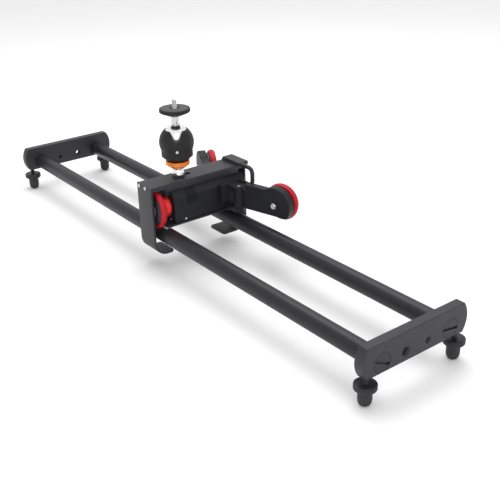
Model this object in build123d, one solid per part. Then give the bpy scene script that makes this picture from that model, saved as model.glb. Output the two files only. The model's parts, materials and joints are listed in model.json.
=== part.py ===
from build123d import *
import os
from math import cos, sin, radians, sqrt

# Motorised camera slider: two tubes between end plates on four screw feet, a
# hooked carriage with a battery dolly that drives it along the front tube, two
# folding arms with guide wheels, and a ball head for the camera.
#
# Millimetres.  X runs along the tubes, Y runs from the drive wheel to the arms,
# Z is up.  The origin is on the floor, midway between the four feet.

# ---------------------------------------------------------------- driving sizes
RAIL_LENGTH = 800.0          # over the outer faces of the end plates
ROD_SPACING = 102.0          # between the axes of the two tubes
ROD_DIAMETER = 22.0
ROD_WALL = 2.0
ROD_SEAT_DEPTH = 2.5         # how far a tube's end sits in its plate

PLATE_THICKNESS = 12.0
PLATE_HEIGHT = 36.0
PLATE_BELOW_AXIS = 12.5      # plate's underside below the tubes' axes
PLATE_PAST_AXIS = 21.4       # plate's corner past a tube's axis
PLATE_END_BULGE = 6.0        # rise of the plate's rounded end past its corners
PLATE_EDGE_BREAK = 0.6

LARGE_THREAD_RADIUS = 4.76   # 3/8"-16
SMALL_THREAD_RADIUS = 3.175  # 1/4"-20
THREAD_OFFSET = 16.7         # threaded holes from the plate's middle
THREAD_DROP = 1.0            # threaded holes below the tubes' axes
THREAD_CHAMFER = 1.4

END_SCREW_DIAMETER = 23.5
END_SCREW_HEAD = 5.0
END_SCREW_SHANK = 12.0
END_SCREW_REACH = 16.0       # shank inside the tube's insert
END_SCREW_SLOT = 3.0
END_SCREW_SLOT_DEPTH = 2.0
INSERT_LENGTH = 22.0

FOOT_PAST_AXIS = 16.4        # foot's axis past a tube's axis
FOOT_TIP_DIAMETER = 15.5
FOOT_TIP_LENGTH = 18.3
FOOT_FLAT_DIAMETER = 8.0
FOOT_RING_DIAMETER = 25.0
FOOT_RING_HEIGHT = 8.0
FOOT_NECK = 7.5              # bare stud between the ring and the plate
FOOT_STUD_DIAMETER = 6.0
FOOT_STUD_REACH = 14.0       # stud inside the plate
FOOT_TRAVEL = 6.0            # how far a foot screws up from where it stands

CARRIAGE_X = -12.5           # where the carriage stands along the tubes
TOP_PLATE_HEIGHT = 71.0      # top plate's upper face above the tubes' axes
TOP_PLATE_THICKNESS = 6.0
TOP_PLATE_WIDTH = 35.0
HOOK_THICKNESS = 3.0
NEAR_HOOK_REACH = 20.4       # near hook's outer face outside the front tube's axis
FAR_HOOK_REACH = 31.0        # far hook's outer face outside the back tube's axis
HOOK_BEND = 20.0             # outer radius of a hook's bend
HOOK_BELOW_ROD = 16.0        # hook's underside below the tube's underside
HOOK_LIP_TUCK = 9.5          # hook's tip inside the tube's axis
HOOK_SCREW_SHIFTS = (-11.0, 4.0)  # along X from the carriage's middle
HOOK_SCREW_RADIUS = 1.5
CLAMP_BLOCK_HEIGHT = 5.0
CLAMP_BLOCK_DEPTH = 16.0
CLAMP_BLOCK_OVERHANG = 6.0   # in front of the top plate
LOOP_BAR = 5.2
LOOP_BEND = 9.0              # radius of its middle line in a bend
LOOP_INSET = 12.0            # inside the far hook's outer face
LOOP_REACH = 33.6            # guard loop in front of the top plate
LOOP_DROP = 24.5             # guard loop from its upper run to its lower run

CASE_SHIFT = 2.5             # dolly's middle in front of the carriage's middle
CASE_DEPTH = 40.0
CASE_START = -40.0           # dolly's end at the drive wheel
CASE_FINISH = 77.5           # dolly's end at the arms
CASE_BOTTOM = 14.5           # above the tubes' axes
CASE_HEIGHT = 45.0
CASE_BEVEL = 9.0
CASE_WALL = 2.0
CASE_END_WALL = 4.0
CASE_CORNER = 6.0
HOOD_LENGTH = 8.0
HOOD_THICKNESS = 6.5
VENT_COUNT = 6
VENT_PITCH = 2.7
VENT_WIDTH = 1.3
VENT_DEPTH = 1.0
VENT_MIDDLE = -13.0
VENT_LENGTH = 20.0
COVER_SCREW_SHANK = 0.8
COVER_SCREW_RISE = 4.0       # above the dolly's underside
COVER_SCREW_INSETS = (16.5, 12.0)  # from the dolly's two ends, on its front face
COVER_SCREW_SIDE = 9.0       # beside the dolly's middle, on its end wall
BOARD_SHIFT = 8.0            # circuit board in front of the dolly's middle
BOARD_THICKNESS = 1.6
BOARD_START = 10.0
BOARD_FINISH = 62.0
LOWER_PLATE_THICKNESS = 2.5
GLIDE_CLEARANCE = 0.3
GLIDE_LENGTH = 9.0
GLIDE_WIDTH = 8.0

WHEEL_AXIS_HEIGHT = 36.0     # wheels' axes above the tubes' axes
DRIVE_TYRE_RADIUS = 26.8
DRIVE_TYRE_WIDTH = 7.6
DRIVE_TYRE_OUTSET = 8.0      # tyre's middle outside the front tube's axis
TYRE_DEPTH = 4.5
TYRE_CROWN = 1.8
HUB_OUTSET = 2.0             # hub's outer face past the tyre
DRUM_RADIUS = 15.0
DRUM_GAP = 2.2               # bare hub between the tyre and the drum
DISC_RADIUS = 11.8
SHAFT_DIAMETER = 6.0
BEARING_DIAMETER = 12.0
BEARING_WIDTH = 4.0
GEAR_RADIUS = 9.6
PINION_RADIUS = 4.8
GEAR_TEETH = 24
PINION_TEETH = 12
TOOTH_HEIGHT = 0.8
GEAR_WIDTH = 5.0
GEAR_MESH_ANGLE = 128.7      # of the pinion round the shaft, from +X towards +Z
MOTOR_DIAMETER = 16.0
MOTOR_LENGTH = 36.0
MOTOR_SHAFT_DIAMETER = 3.0
BATTERY_DIAMETER = 18.0
BATTERY_LENGTH = 65.0

ARM_PIVOT_OUTSET = 20.0      # hinge axis in front of the dolly's face
ARM_PIVOT_Y = 51.0
ARM_KNUCKLE_DIAMETER = 15.0
ARM_KNUCKLE_START = 15.0     # knuckle's underside above the tubes' axes
ARM_KNUCKLE_HEIGHT = 37.0
ARM_LUG_HEIGHT = 7.0
ARM_LENGTH = 58.0            # hinge axis to axle
ARM_THICKNESS = 11.0
ARM_BOTTOM = 21.0
ARM_HEIGHT = 35.0
ARM_FENDER_RADIUS = 25.0
FRONT_ARM_ANGLE = 15.0       # from +X towards +Y
REAR_ARM_ANGLE = 25.0        # from -X towards +Y
HINGE_PIN_DIAMETER = 5.0
AXLE_DIAMETER = 6.0
AXLE_HEAD_DIAMETER = 8.5
AXLE_HEAD_HEIGHT = 2.2
GUIDE_TYRE_RADIUS = 25.5
GUIDE_WHEEL_WIDTH = 12.0
GUIDE_TYRE_WIDTH = 8.5       # on the half of the hub away from the arm
WHEEL_GAP = 1.2              # between an arm and its wheel
RUNNING_FIT = 0.04           # radial clearance of a turning fit
BODY_GAP = 0.3               # between parts that move past each other

HEAD_Y = -16.4
HEAD_SHIFT = -1.0            # head's axis from the top plate's middle
HEAD_FACING = -32.0          # the notch's heading, from +X towards +Y
SLOT_WIDTH = 6.6
SLOT_START = 5.0             # slot's first centre before the head's axis
SLOT_FINISH = 15.2           # slot's last centre past the head's axis
WASHER_DIAMETER = 17.0
WASHER_HEIGHT = 2.0
COLLAR_DIAMETER = 17.5
COLLAR_HEIGHT = 10.0
T_HEAD_DIAMETER = 11.0
T_HEAD_HEIGHT = 3.5
LOCK_RING_DIAMETER = 32.0
LOCK_RING_HEIGHT = 10.7
HOUSING_RADIUS = 23.0
HOUSING_WAIST = 20.8         # radius of the straight part under the round one
HOUSING_CENTRE = 47.6        # centre of the round part above the top plate
HOUSING_TOP = 65.0
BALL_RADIUS = 17.0
BALL_HEIGHT = 55.0           # ball's centre above the top plate
STEM_DIAMETER = 10.5
STEM_TOP = 83.0
NOTCH_WIDTH = 12.2
NOTCH_FLARE = 16.5           # its width at the housing's rim
NOTCH_RISE = 5.0             # centre of its round bottom above the ball's centre
SET_SCREW_RADIUS = 1.8
SET_SCREW_HEIGHT = 39.8
SET_SCREW_START = 15.0       # screw's inner end from the head's axis
SET_SCREW_FINISH = 21.9
SPIGOT_RADIUS = 5.0
SPIGOT_RISE = 4.0            # spigot above the lock ring
PLATFORM_DIAMETER = 40.5
PLATFORM_RIM = 5.0
PLATFORM_TOP = 93.0
PAD_THICKNESS = 1.0
PAD_RECESS = 0.6
CAMERA_SCREW_LENGTH = 12.0
CAMERA_SCREW_NECK = 3.0      # radius inside the stem and the platform

CONTROL_HEIGHT = 24.75       # switch and button above the dolly's underside
SWITCH_Y = -10.0
SWITCH_TRAVEL = 4.0
SWITCH_LENGTH = 5.0
SWITCH_WIDTH = 4.0
BUTTON_Y = 20.0
BUTTON_RADIUS = 3.5
FLANGE_THICKNESS = 1.0

# --------------------------------------------------------------- derived places
PLATE_BOTTOM = FOOT_TIP_LENGTH + FOOT_RING_HEIGHT + FOOT_NECK
ROD_Z = PLATE_BOTTOM + PLATE_BELOW_AXIS
ROD_Y = ROD_SPACING / 2
ROD_RADIUS = ROD_DIAMETER / 2
PLATE_X = RAIL_LENGTH / 2 - PLATE_THICKNESS / 2
PLATE_INNER_X = RAIL_LENGTH / 2 - PLATE_THICKNESS
FOOT_Y = ROD_Y + FOOT_PAST_AXIS
TOP_Z = ROD_Z + TOP_PLATE_HEIGHT
TOP_UNDER_Z = TOP_Z - TOP_PLATE_THICKNESS
NEAR_HOOK_Y = ROD_Y + NEAR_HOOK_REACH
FAR_HOOK_Y = ROD_Y + FAR_HOOK_REACH
HOOK_BOTTOM_Z = ROD_Z - ROD_RADIUS - HOOK_BELOW_ROD
HOOK_SCREW_Z = TOP_Z - TOP_PLATE_THICKNESS / 2
CASE_X = CARRIAGE_X + CASE_SHIFT
CASE_FRONT_X = CASE_X + CASE_DEPTH / 2
CASE_BACK_X = CASE_X - CASE_DEPTH / 2
CASE_LOW_Z = ROD_Z + CASE_BOTTOM
CASE_TOP_Z = CASE_LOW_Z + CASE_HEIGHT
CONTROL_Z = CASE_LOW_Z + CONTROL_HEIGHT
WHEEL_Z = ROD_Z + WHEEL_AXIS_HEIGHT
DRIVE_TYRE_Y = -ROD_Y - DRIVE_TYRE_OUTSET
HEAD_X = CARRIAGE_X + HEAD_SHIFT
MESH_DISTANCE = GEAR_RADIUS + PINION_RADIUS
PINION_X = CASE_X + MESH_DISTANCE * cos(radians(GEAR_MESH_ANGLE))
PINION_Z = WHEEL_Z + MESH_DISTANCE * sin(radians(GEAR_MESH_ANGLE))
GEAR_Y = CASE_START + CASE_END_WALL + 1.0
GEAR_PLATE_Y = GEAR_Y + GEAR_WIDTH + 1.0
KNUCKLE_LOW_Z = ROD_Z + ARM_KNUCKLE_START
KNUCKLE_TOP_Z = KNUCKLE_LOW_Z + ARM_KNUCKLE_HEIGHT
BOARD_X = CASE_X + BOARD_SHIFT
COLLAR_TOP = WASHER_HEIGHT + COLLAR_HEIGHT
SPIGOT_TOP = COLLAR_TOP + LOCK_RING_HEIGHT + SPIGOT_RISE


# ---------------------------------------------------------------------- helpers
def block(x, y, z):
    """A box from three (low, high) pairs."""
    size = [high - low for low, high in (x, y, z)]
    middle = [(high + low) / 2 for low, high in (x, y, z)]
    return Pos(*middle) * Box(*size)


def bar_x(x, y, z, radius):
    """A cylinder along X between the two values of x."""
    return Pos((x[0] + x[1]) / 2, y, z) * Rot(0, 90, 0) * Cylinder(radius, x[1] - x[0])


def bar_y(x, y, z, radius):
    """A cylinder along Y between the two values of y."""
    return Pos(x, (y[0] + y[1]) / 2, z) * Rot(90, 0, 0) * Cylinder(radius, y[1] - y[0])


def bar_z(x, y, z, radius):
    """A cylinder along Z between the two values of z."""
    return Pos(x, y, (z[0] + z[1]) / 2) * Cylinder(radius, z[1] - z[0])


def turned(outline):
    """A body of revolution about Z from (radius, height) corners."""
    corners = [(radius, 0, height) for radius, height in outline]
    return revolve(make_face(Polyline(*corners, close=True)), Axis.Z)


def along_y(shape):
    """Turns a shape made about Z so that its top faces +Y."""
    return Rot(-90, 0, 0) * shape


def prism_x(outline, x):
    """A prism along X from (y, z) corners."""
    face = make_face(Polyline(*[(x[0], y, z) for y, z in outline], close=True))
    return extrude(face, amount=x[1] - x[0], dir=(1, 0, 0))


def prism_y(outline, y):
    """A prism along Y from (x, z) corners."""
    face = make_face(Polyline(*[(x, y[0], z) for x, z in outline], close=True))
    return extrude(face, amount=y[1] - y[0], dir=(0, 1, 0))


def mirrored_x(shape, x):
    """The same shape on the other side of the plane at x."""
    return shape.mirror(Plane.YZ.offset(x))


def save(name, *solids):
    """Writes one node, from one solid or from several separate ones."""
    shape = solids[0] if len(solids) == 1 else Compound(children=list(solids))
    export_step(shape, f"parts/{name}.step")


# --------------------------------------------------------- end plates and tubes
def end_plate_blank():
    """The near plate with rounded ends, before its holes."""
    corner = ROD_Y + PLATE_PAST_AXIS
    top = PLATE_BOTTOM + PLATE_HEIGHT
    middle = (PLATE_BOTTOM + top) / 2
    inner = PLATE_INNER_X
    outline = Wire([
        Line((inner, -corner, PLATE_BOTTOM), (inner, corner, PLATE_BOTTOM)),
        ThreePointArc((inner, corner, PLATE_BOTTOM),
                      (inner, corner + PLATE_END_BULGE, middle), (inner, corner, top)),
        Line((inner, corner, top), (inner, -corner, top)),
        ThreePointArc((inner, -corner, top),
                      (inner, -corner - PLATE_END_BULGE, middle), (inner, -corner, PLATE_BOTTOM)),
    ])
    blank = extrude(Face(outline), amount=PLATE_THICKNESS, dir=(1, 0, 0))
    long_edges = blank.faces().sort_by(Axis.X)[-1].edges()
    return chamfer(long_edges, PLATE_EDGE_BREAK)


def threaded_hole(y, radius):
    """The space of one through thread in the near plate, with a lead at its mouth."""
    outer = RAIL_LENGTH / 2
    z = ROD_Z - THREAD_DROP
    lead = Pos(outer - THREAD_CHAMFER / 2, y, z) * Rot(0, 90, 0) * Cone(
        radius, radius + THREAD_CHAMFER, THREAD_CHAMFER)
    return bar_x((PLATE_INNER_X - 1, outer + 1), y, z, radius) + lead


def end_plate():
    """The near plate: two threads, two screw seats, two tube seats, two foot holes."""
    outer = RAIL_LENGTH / 2
    plate = end_plate_blank()
    plate -= threaded_hole(-THREAD_OFFSET, LARGE_THREAD_RADIUS)
    plate -= threaded_hole(THREAD_OFFSET, SMALL_THREAD_RADIUS)
    for side in (-1, 1):
        y = side * ROD_Y
        plate -= bar_x((outer - END_SCREW_HEAD, outer + 1), y, ROD_Z,
                       END_SCREW_DIAMETER / 2 + BODY_GAP)
        plate -= bar_x((PLATE_INNER_X - 1, outer), y, ROD_Z, END_SCREW_SHANK / 2)
        plate -= bar_x((PLATE_INNER_X - 1, PLATE_INNER_X + ROD_SEAT_DEPTH), y, ROD_Z, ROD_RADIUS)
        plate -= bar_z(PLATE_X, side * FOOT_Y,
                       (PLATE_BOTTOM - 1, PLATE_BOTTOM + FOOT_STUD_REACH + FOOT_TRAVEL + 1),
                       FOOT_STUD_DIAMETER / 2 + RUNNING_FIT)
    return plate


def rod(side):
    """One hollow tube, seated in both plates."""
    end = PLATE_INNER_X + ROD_SEAT_DEPTH
    tube = bar_x((-end, end), side * ROD_Y, ROD_Z, ROD_RADIUS)
    return tube - bar_x((-end - 1, end + 1), side * ROD_Y, ROD_Z, ROD_RADIUS - ROD_WALL)


def rod_insert(side):
    """The threaded plug in a tube's near end."""
    end = PLATE_INNER_X + ROD_SEAT_DEPTH
    plug = bar_x((end - INSERT_LENGTH, end), side * ROD_Y, ROD_Z, ROD_RADIUS - ROD_WALL)
    return plug - bar_x((end - INSERT_LENGTH - 1, end + 1), side * ROD_Y, ROD_Z,
                        END_SCREW_SHANK / 2)


def end_screw(side, slot_angle):
    """The wide slotted screw that holds a tube to the near plate."""
    outer = RAIL_LENGTH / 2
    y = side * ROD_Y
    head = bar_x((outer - END_SCREW_HEAD, outer), y, ROD_Z, END_SCREW_DIAMETER / 2)
    shank_end = PLATE_INNER_X + ROD_SEAT_DEPTH - END_SCREW_REACH
    head += bar_x((shank_end, outer - END_SCREW_HEAD), y, ROD_Z, END_SCREW_SHANK / 2)
    slot = Box(2 * END_SCREW_SLOT_DEPTH, END_SCREW_DIAMETER + 2, END_SCREW_SLOT)
    return head - Pos(outer, y, ROD_Z) * Rot(slot_angle, 0, 0) * slot


def save_rails():
    near = end_plate()
    save("end_plate_near", near)
    save("end_plate_far", Rot(0, 0, 180) * near)
    save("rod_front", rod(-1))
    save("rod_back", rod(1))
    inserts = [rod_insert(-1), rod_insert(1)]
    screws = [end_screw(-1, -27), end_screw(1, -10)]
    save("rod_inserts", *inserts, *[Rot(0, 0, 180) * one for one in inserts])
    save("end_screws", *screws, *[Rot(0, 0, 180) * one for one in screws])


# ------------------------------------------------------------------------- feet
def foot_stud():
    """The threaded stud and the knurled ring that turns it, on the Z axis."""
    low = FOOT_TIP_LENGTH
    high = low + FOOT_RING_HEIGHT
    edge = FOOT_RING_DIAMETER / 2
    ring = turned([(0, low), (edge - 2.5, low), (edge, low + 2), (edge, high - 1), (edge - 1, high),
                   (0, high)])
    grip = bar_z(edge + 0.25, 0, (low - 1, high + 1), 0.8)
    for turn in range(24):
        ring -= Rot(0, 0, turn * 15) * grip
    top = high + FOOT_NECK + FOOT_STUD_REACH
    return ring + bar_z(0, 0, (low - 8, top), FOOT_STUD_DIAMETER / 2)


def foot_tip():
    """The rubber foot: straight sides and a rounded end with a small flat."""
    radius = FOOT_TIP_DIAMETER / 2
    flat = FOOT_FLAT_DIAMETER / 2
    tip = turned([(0, 0), (flat, 0), (radius - 1.3, 2.2), (radius - 0.3, 5.0), (radius, 8.5),
                  (radius, FOOT_TIP_LENGTH), (0, FOOT_TIP_LENGTH)])
    socket = bar_z(0, 0, (FOOT_TIP_LENGTH - 8, FOOT_TIP_LENGTH + 1), FOOT_STUD_DIAMETER / 2)
    return tip - socket


def save_feet():
    places = {"near_front": (1, -1), "near_back": (1, 1), "far_front": (-1, -1), "far_back": (-1, 1)}
    for name, (x, y) in places.items():
        here = Pos(x * PLATE_X, y * FOOT_Y, 0)
        save(f"foot_stud_{name}", here * foot_stud())
        save(f"foot_tip_{name}", here * foot_tip())


# --------------------------------------------------------------- carriage frame
def plate_span():
    """The top plate's two edges along X."""
    return (CARRIAGE_X - TOP_PLATE_WIDTH / 2, CARRIAGE_X + TOP_PLATE_WIDTH / 2)


def top_plate():
    """The flat plate over both tubes, slotted for the ball head."""
    start = -NEAR_HOOK_Y + HOOK_THICKNESS
    plate = block(plate_span(), (start, FAR_HOOK_Y - HOOK_THICKNESS), (TOP_UNDER_Z, TOP_Z))
    plate = chamfer(plate.edges().filter_by(Axis.Y).sort_by(Axis.Z)[-2:], 0.8)
    ends = (HEAD_Y - SLOT_START, HEAD_Y + SLOT_FINISH)
    slot = block((HEAD_X - SLOT_WIDTH / 2, HEAD_X + SLOT_WIDTH / 2), ends, (TOP_UNDER_Z - 1, TOP_Z + 1))
    for y in ends:
        slot += bar_z(HEAD_X, y, (TOP_UNDER_Z - 1, TOP_Z + 1), SLOT_WIDTH / 2)
    return plate - slot


def hook_strip(outer_y, tip_y, top_z):
    """A flat strip that goes down, bends under a tube and ends in a lip."""
    thick = HOOK_THICKNESS
    bend_y = outer_y - HOOK_BEND
    bend_z = HOOK_BOTTOM_Z + HOOK_BEND
    inner = HOOK_BEND - thick
    diagonal = sqrt(0.5)
    x = plate_span()[0]
    outline = Wire([
        Line((x, outer_y, top_z), (x, outer_y, bend_z)),
        ThreePointArc((x, outer_y, bend_z),
                      (x, bend_y + HOOK_BEND * diagonal, bend_z - HOOK_BEND * diagonal),
                      (x, bend_y, HOOK_BOTTOM_Z)),
        Line((x, bend_y, HOOK_BOTTOM_Z), (x, tip_y, HOOK_BOTTOM_Z)),
        Line((x, tip_y, HOOK_BOTTOM_Z), (x, tip_y, HOOK_BOTTOM_Z + thick)),
        Line((x, tip_y, HOOK_BOTTOM_Z + thick), (x, bend_y, HOOK_BOTTOM_Z + thick)),
        ThreePointArc((x, bend_y, HOOK_BOTTOM_Z + thick),
                      (x, bend_y + inner * diagonal, bend_z - inner * diagonal),
                      (x, outer_y - thick, bend_z)),
        Line((x, outer_y - thick, bend_z), (x, outer_y - thick, top_z)),
        Line((x, outer_y - thick, top_z), (x, outer_y, top_z)),
    ])
    strip = extrude(Face(outline), amount=TOP_PLATE_WIDTH, dir=(1, 0, 0))
    tip_edges = strip.edges().filter_by(Axis.Z).sort_by(Axis.Y)[:2]
    return fillet(tip_edges, 4.0)


def hook_screw_places():
    """Where the hook screws stand along X."""
    return [CARRIAGE_X + shift for shift in HOOK_SCREW_SHIFTS]


def near_hook():
    strip = hook_strip(NEAR_HOOK_Y, ROD_Y - HOOK_LIP_TUCK, TOP_Z).mirror(Plane.XZ)
    for x in hook_screw_places():
        strip -= bar_y(x, (-NEAR_HOOK_Y - 1, -NEAR_HOOK_Y + HOOK_THICKNESS + 1), HOOK_SCREW_Z,
                       HOOK_SCREW_RADIUS)
    return strip


def far_hook():
    strip = hook_strip(FAR_HOOK_Y, ROD_Y - HOOK_LIP_TUCK, TOP_Z)
    for x in hook_screw_places():
        strip -= bar_y(x, (FAR_HOOK_Y - HOOK_THICKNESS - 1, FAR_HOOK_Y + 1), HOOK_SCREW_Z,
                       HOOK_SCREW_RADIUS)
    return strip


def socket_screw(head_radius, head_height, shank_radius, reach, socket_radius):
    """A round-head screw on the Z axis, its shank below zero."""
    screw = turned([(0, -reach), (shank_radius, -reach), (shank_radius, 0), (head_radius, 0),
                    (head_radius, head_height * 0.55), (head_radius * 0.8, head_height),
                    (0, head_height)])
    socket = extrude(RegularPolygon(socket_radius, 6), amount=head_height * 0.7)
    return screw - Pos(0, 0, head_height * 0.5) * socket


def hook_screws():
    """Two screws through each hook into the top plate's ends."""
    one = socket_screw(2.4, 1.6, HOOK_SCREW_RADIUS, HOOK_THICKNESS - 0.1, 1.2)
    near = [Pos(x, -NEAR_HOOK_Y, HOOK_SCREW_Z) * Rot(90, 0, 0) * one for x in hook_screw_places()]
    far = [Pos(x, FAR_HOOK_Y, HOOK_SCREW_Z) * Rot(-90, 0, 0) * one for x in hook_screw_places()]
    return near + far


def clamp_block():
    """The raised bar that stiffens the top plate over the far hook."""
    low, high = plate_span()
    y = (FAR_HOOK_Y - CLAMP_BLOCK_DEPTH, FAR_HOOK_Y)
    top = TOP_Z + CLAMP_BLOCK_HEIGHT
    front = high + CLAMP_BLOCK_OVERHANG
    return prism_y([(low, TOP_Z), (front, TOP_Z), (front, top - 0.8), (front - 0.8, top),
                    (low + 3.5, top)], y)


def guard_loop():
    """A bent bar from the clamp block round to the dolly's front face."""
    y = FAR_HOOK_Y - LOOP_INSET
    start = plate_span()[1] + CLAMP_BLOCK_OVERHANG
    front = plate_span()[1] + LOOP_REACH - LOOP_BAR / 2
    top = TOP_Z + CLAMP_BLOCK_HEIGHT - LOOP_BAR / 2
    bottom = top - LOOP_DROP
    points = [(start, y, top), (front, y, top), (front, y, bottom), (CASE_FRONT_X, y, bottom)]
    path = FilletPolyline(*points, radius=LOOP_BEND)
    section = Plane(origin=points[0], z_dir=(1, 0, 0)) * RectangleRounded(LOOP_BAR, LOOP_BAR, LOOP_BAR * 0.3)
    return sweep(section, path=path)


def glide_pads():
    """Four low-friction saddles under the lower plate, just clear of the tubes."""
    pads = []
    low = ROD_Z
    high = CASE_LOW_Z - LOWER_PLATE_THICKNESS
    inset = GLIDE_LENGTH / 2 + 1.5
    for side, y in ((-1, -ROD_Y + 1.0), (1, ROD_Y)):
        saddle = bar_x((CASE_BACK_X, CASE_FRONT_X), side * ROD_Y, ROD_Z, ROD_RADIUS + GLIDE_CLEARANCE)
        for x in (CASE_BACK_X + inset, CASE_FRONT_X - inset):
            pad = block((x - GLIDE_LENGTH / 2, x + GLIDE_LENGTH / 2),
                        (y - GLIDE_WIDTH / 2, y + GLIDE_WIDTH / 2), (low, high))
            pads.append(pad - saddle)
    return pads


def lower_plate():
    """The thin tray under the dolly that carries the glide pads."""
    y = (-ROD_Y - 1.0, ROD_Y + ROD_RADIUS)
    z = (CASE_LOW_Z - LOWER_PLATE_THICKNESS, CASE_LOW_Z)
    tray = block((CASE_BACK_X, CASE_FRONT_X), y, z)
    return fillet(tray.edges().filter_by(Axis.Z), 3.0)


def dolly_rail():
    """The bar that joins the dolly to the underside of the top plate."""
    low, high = plate_span()
    bar = block((low + 3.0, high - 3.0), (CASE_START - HOOD_LENGTH, CASE_FINISH - CASE_CORNER),
                (CASE_TOP_Z, TOP_UNDER_Z))
    spare = T_HEAD_DIAMETER / 2
    slot = (HEAD_Y - SLOT_START - spare, HEAD_Y + SLOT_FINISH + spare)
    room = block((HEAD_X - SLOT_WIDTH, HEAD_X + SLOT_WIDTH), slot, (CASE_TOP_Z - 1, TOP_UNDER_Z + 1))
    return bar - room


# ------------------------------------------------------------------ dolly shell
def case_outline(inset):
    """The dolly's section in X and Z, shrunk by inset on every side."""
    low = CASE_LOW_Z + inset
    high = CASE_TOP_Z - inset
    half = CASE_DEPTH / 2 - inset
    bevel = CASE_BEVEL - inset * (2 - sqrt(2))
    foot = 2.0
    return [(CASE_X - half + foot, low), (CASE_X + half - foot, low), (CASE_X + half, low + foot),
            (CASE_X + half, high - bevel), (CASE_X + half - bevel, high),
            (CASE_X - half + bevel, high), (CASE_X - half, high - bevel), (CASE_X - half, low + foot)]


def case_shell():
    """The whole shell, closed at both ends, before it is split into two covers."""
    outer = prism_y(case_outline(0), (CASE_START, CASE_FINISH))
    end_faces = outer.edges().filter_by(Axis.Z).sort_by(Axis.Y)[-2:]
    outer = fillet(end_faces, CASE_CORNER)
    hood_x = CASE_DEPTH / 2 - CASE_BEVEL
    hood = block((CASE_X - hood_x, CASE_X + hood_x), (CASE_START - HOOD_LENGTH, CASE_START),
                 (CASE_TOP_Z - HOOD_THICKNESS, CASE_TOP_Z))
    room = prism_y(case_outline(CASE_WALL),
                   (CASE_START + CASE_END_WALL, CASE_FINISH - CASE_CORNER))
    return outer + hood - room


def vents():
    """Narrow grooves over the front face and its bevel."""
    grooves = Part()
    first = VENT_MIDDLE - VENT_PITCH * (VENT_COUNT - 1) / 2
    face = [(CASE_FRONT_X - VENT_DEPTH, CASE_TOP_Z - VENT_LENGTH),
            (CASE_FRONT_X + 1, CASE_TOP_Z - VENT_LENGTH), (CASE_FRONT_X + 1, CASE_TOP_Z - 1.5),
            (CASE_FRONT_X - CASE_BEVEL + 1.5 - VENT_DEPTH, CASE_TOP_Z - 1.5),
            (CASE_FRONT_X - VENT_DEPTH, CASE_TOP_Z - CASE_BEVEL - 0.4)]
    for index in range(VENT_COUNT):
        y = first + index * VENT_PITCH
        grooves += prism_y(face, (y - VENT_WIDTH / 2, y + VENT_WIDTH / 2))
    return grooves


def cover_screw_seats():
    """The places of the small screws: two low on the front face, one on the end wall."""
    z = CASE_LOW_Z + COVER_SCREW_RISE
    near, far = COVER_SCREW_INSETS
    seats = [Pos(CASE_FRONT_X, y, z) * Rot(0, 90, 0) for y in (CASE_START + near, CASE_FINISH - far)]
    return seats + [Pos(CASE_X + COVER_SCREW_SIDE, CASE_START, z) * Rot(90, 0, 0)]


def board_posts():
    """Posts inside the front cover that hold the circuit board."""
    posts = Part()
    for y in (BOARD_START + 4.0, BOARD_FINISH - 4.0):
        for z in (CASE_LOW_Z + 8.0, CASE_LOW_Z + 30.0):
            posts += bar_x((BOARD_X + BOARD_THICKNESS, CASE_FRONT_X - CASE_WALL), y, z, 2.0)
    return posts


def bearing_seat(shell):
    """The shell with a bore for the shaft's outer bearing."""
    return shell - bar_y(CASE_X, (CASE_START - 1, CASE_START + CASE_END_WALL + 1), WHEEL_Z,
                         BEARING_DIAMETER / 2)


def case_half(side):
    """One cover: the front for side 1, the rear for side -1."""
    shell = bearing_seat(case_shell())
    far = CASE_DEPTH + 10
    x = (CASE_X, CASE_X + far) if side > 0 else (CASE_X - far, CASE_X)
    y = (CASE_START - HOOD_LENGTH - 1, CASE_FINISH + 1)
    return shell & block(x, y, (CASE_LOW_Z - 1, CASE_TOP_Z + 1))


def front_cover():
    cover = case_half(1) - vents() + board_posts()
    for seat in cover_screw_seats():
        cover -= seat * Cylinder(COVER_SCREW_SHANK, 2 * CASE_WALL + 1)
    return cover


def rear_cover():
    """The rear shell, with openings for the switch and the button."""
    cover = case_half(-1)
    wall = (CASE_BACK_X - 1, CASE_BACK_X + CASE_WALL + 1)
    reach = (SWITCH_TRAVEL + SWITCH_LENGTH) / 2 + BODY_GAP
    half = SWITCH_WIDTH / 2 + BODY_GAP
    cover -= block(wall, (SWITCH_Y - reach, SWITCH_Y + reach), (CONTROL_Z - half, CONTROL_Z + half))
    return cover - bar_x(wall, BUTTON_Y, CONTROL_Z, BUTTON_RADIUS + BODY_GAP)


def cover_screws():
    one = socket_screw(1.5, 0.7, COVER_SCREW_SHANK, CASE_WALL, 0.7)
    return [seat * one for seat in cover_screw_seats()]


# -------------------------------------------------------------- dolly internals
def gear_plate():
    """The inner plate that holds the shaft's second bearing and the motor."""
    inner = case_outline(CASE_WALL)
    plate = prism_y(inner, (GEAR_PLATE_Y, GEAR_PLATE_Y + BEARING_WIDTH))
    plate -= bar_y(CASE_X, (GEAR_PLATE_Y - 1, GEAR_PLATE_Y + BEARING_WIDTH + 1), WHEEL_Z,
                   BEARING_DIAMETER / 2)
    return plate - bar_y(PINION_X, (GEAR_PLATE_Y - 1, GEAR_PLATE_Y + BEARING_WIDTH + 1), PINION_Z,
                         MOTOR_SHAFT_DIAMETER / 2 + 1.0)


def gear_motor():
    """The motor with its gearbox, behind the gear plate."""
    start = GEAR_PLATE_Y + BEARING_WIDTH
    box = bar_y(PINION_X, (start, start + 12), PINION_Z, MOTOR_DIAMETER / 2)
    can = bar_y(PINION_X, (start + 12, start + MOTOR_LENGTH), PINION_Z, MOTOR_DIAMETER / 2 - 0.5)
    return box + can


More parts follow.
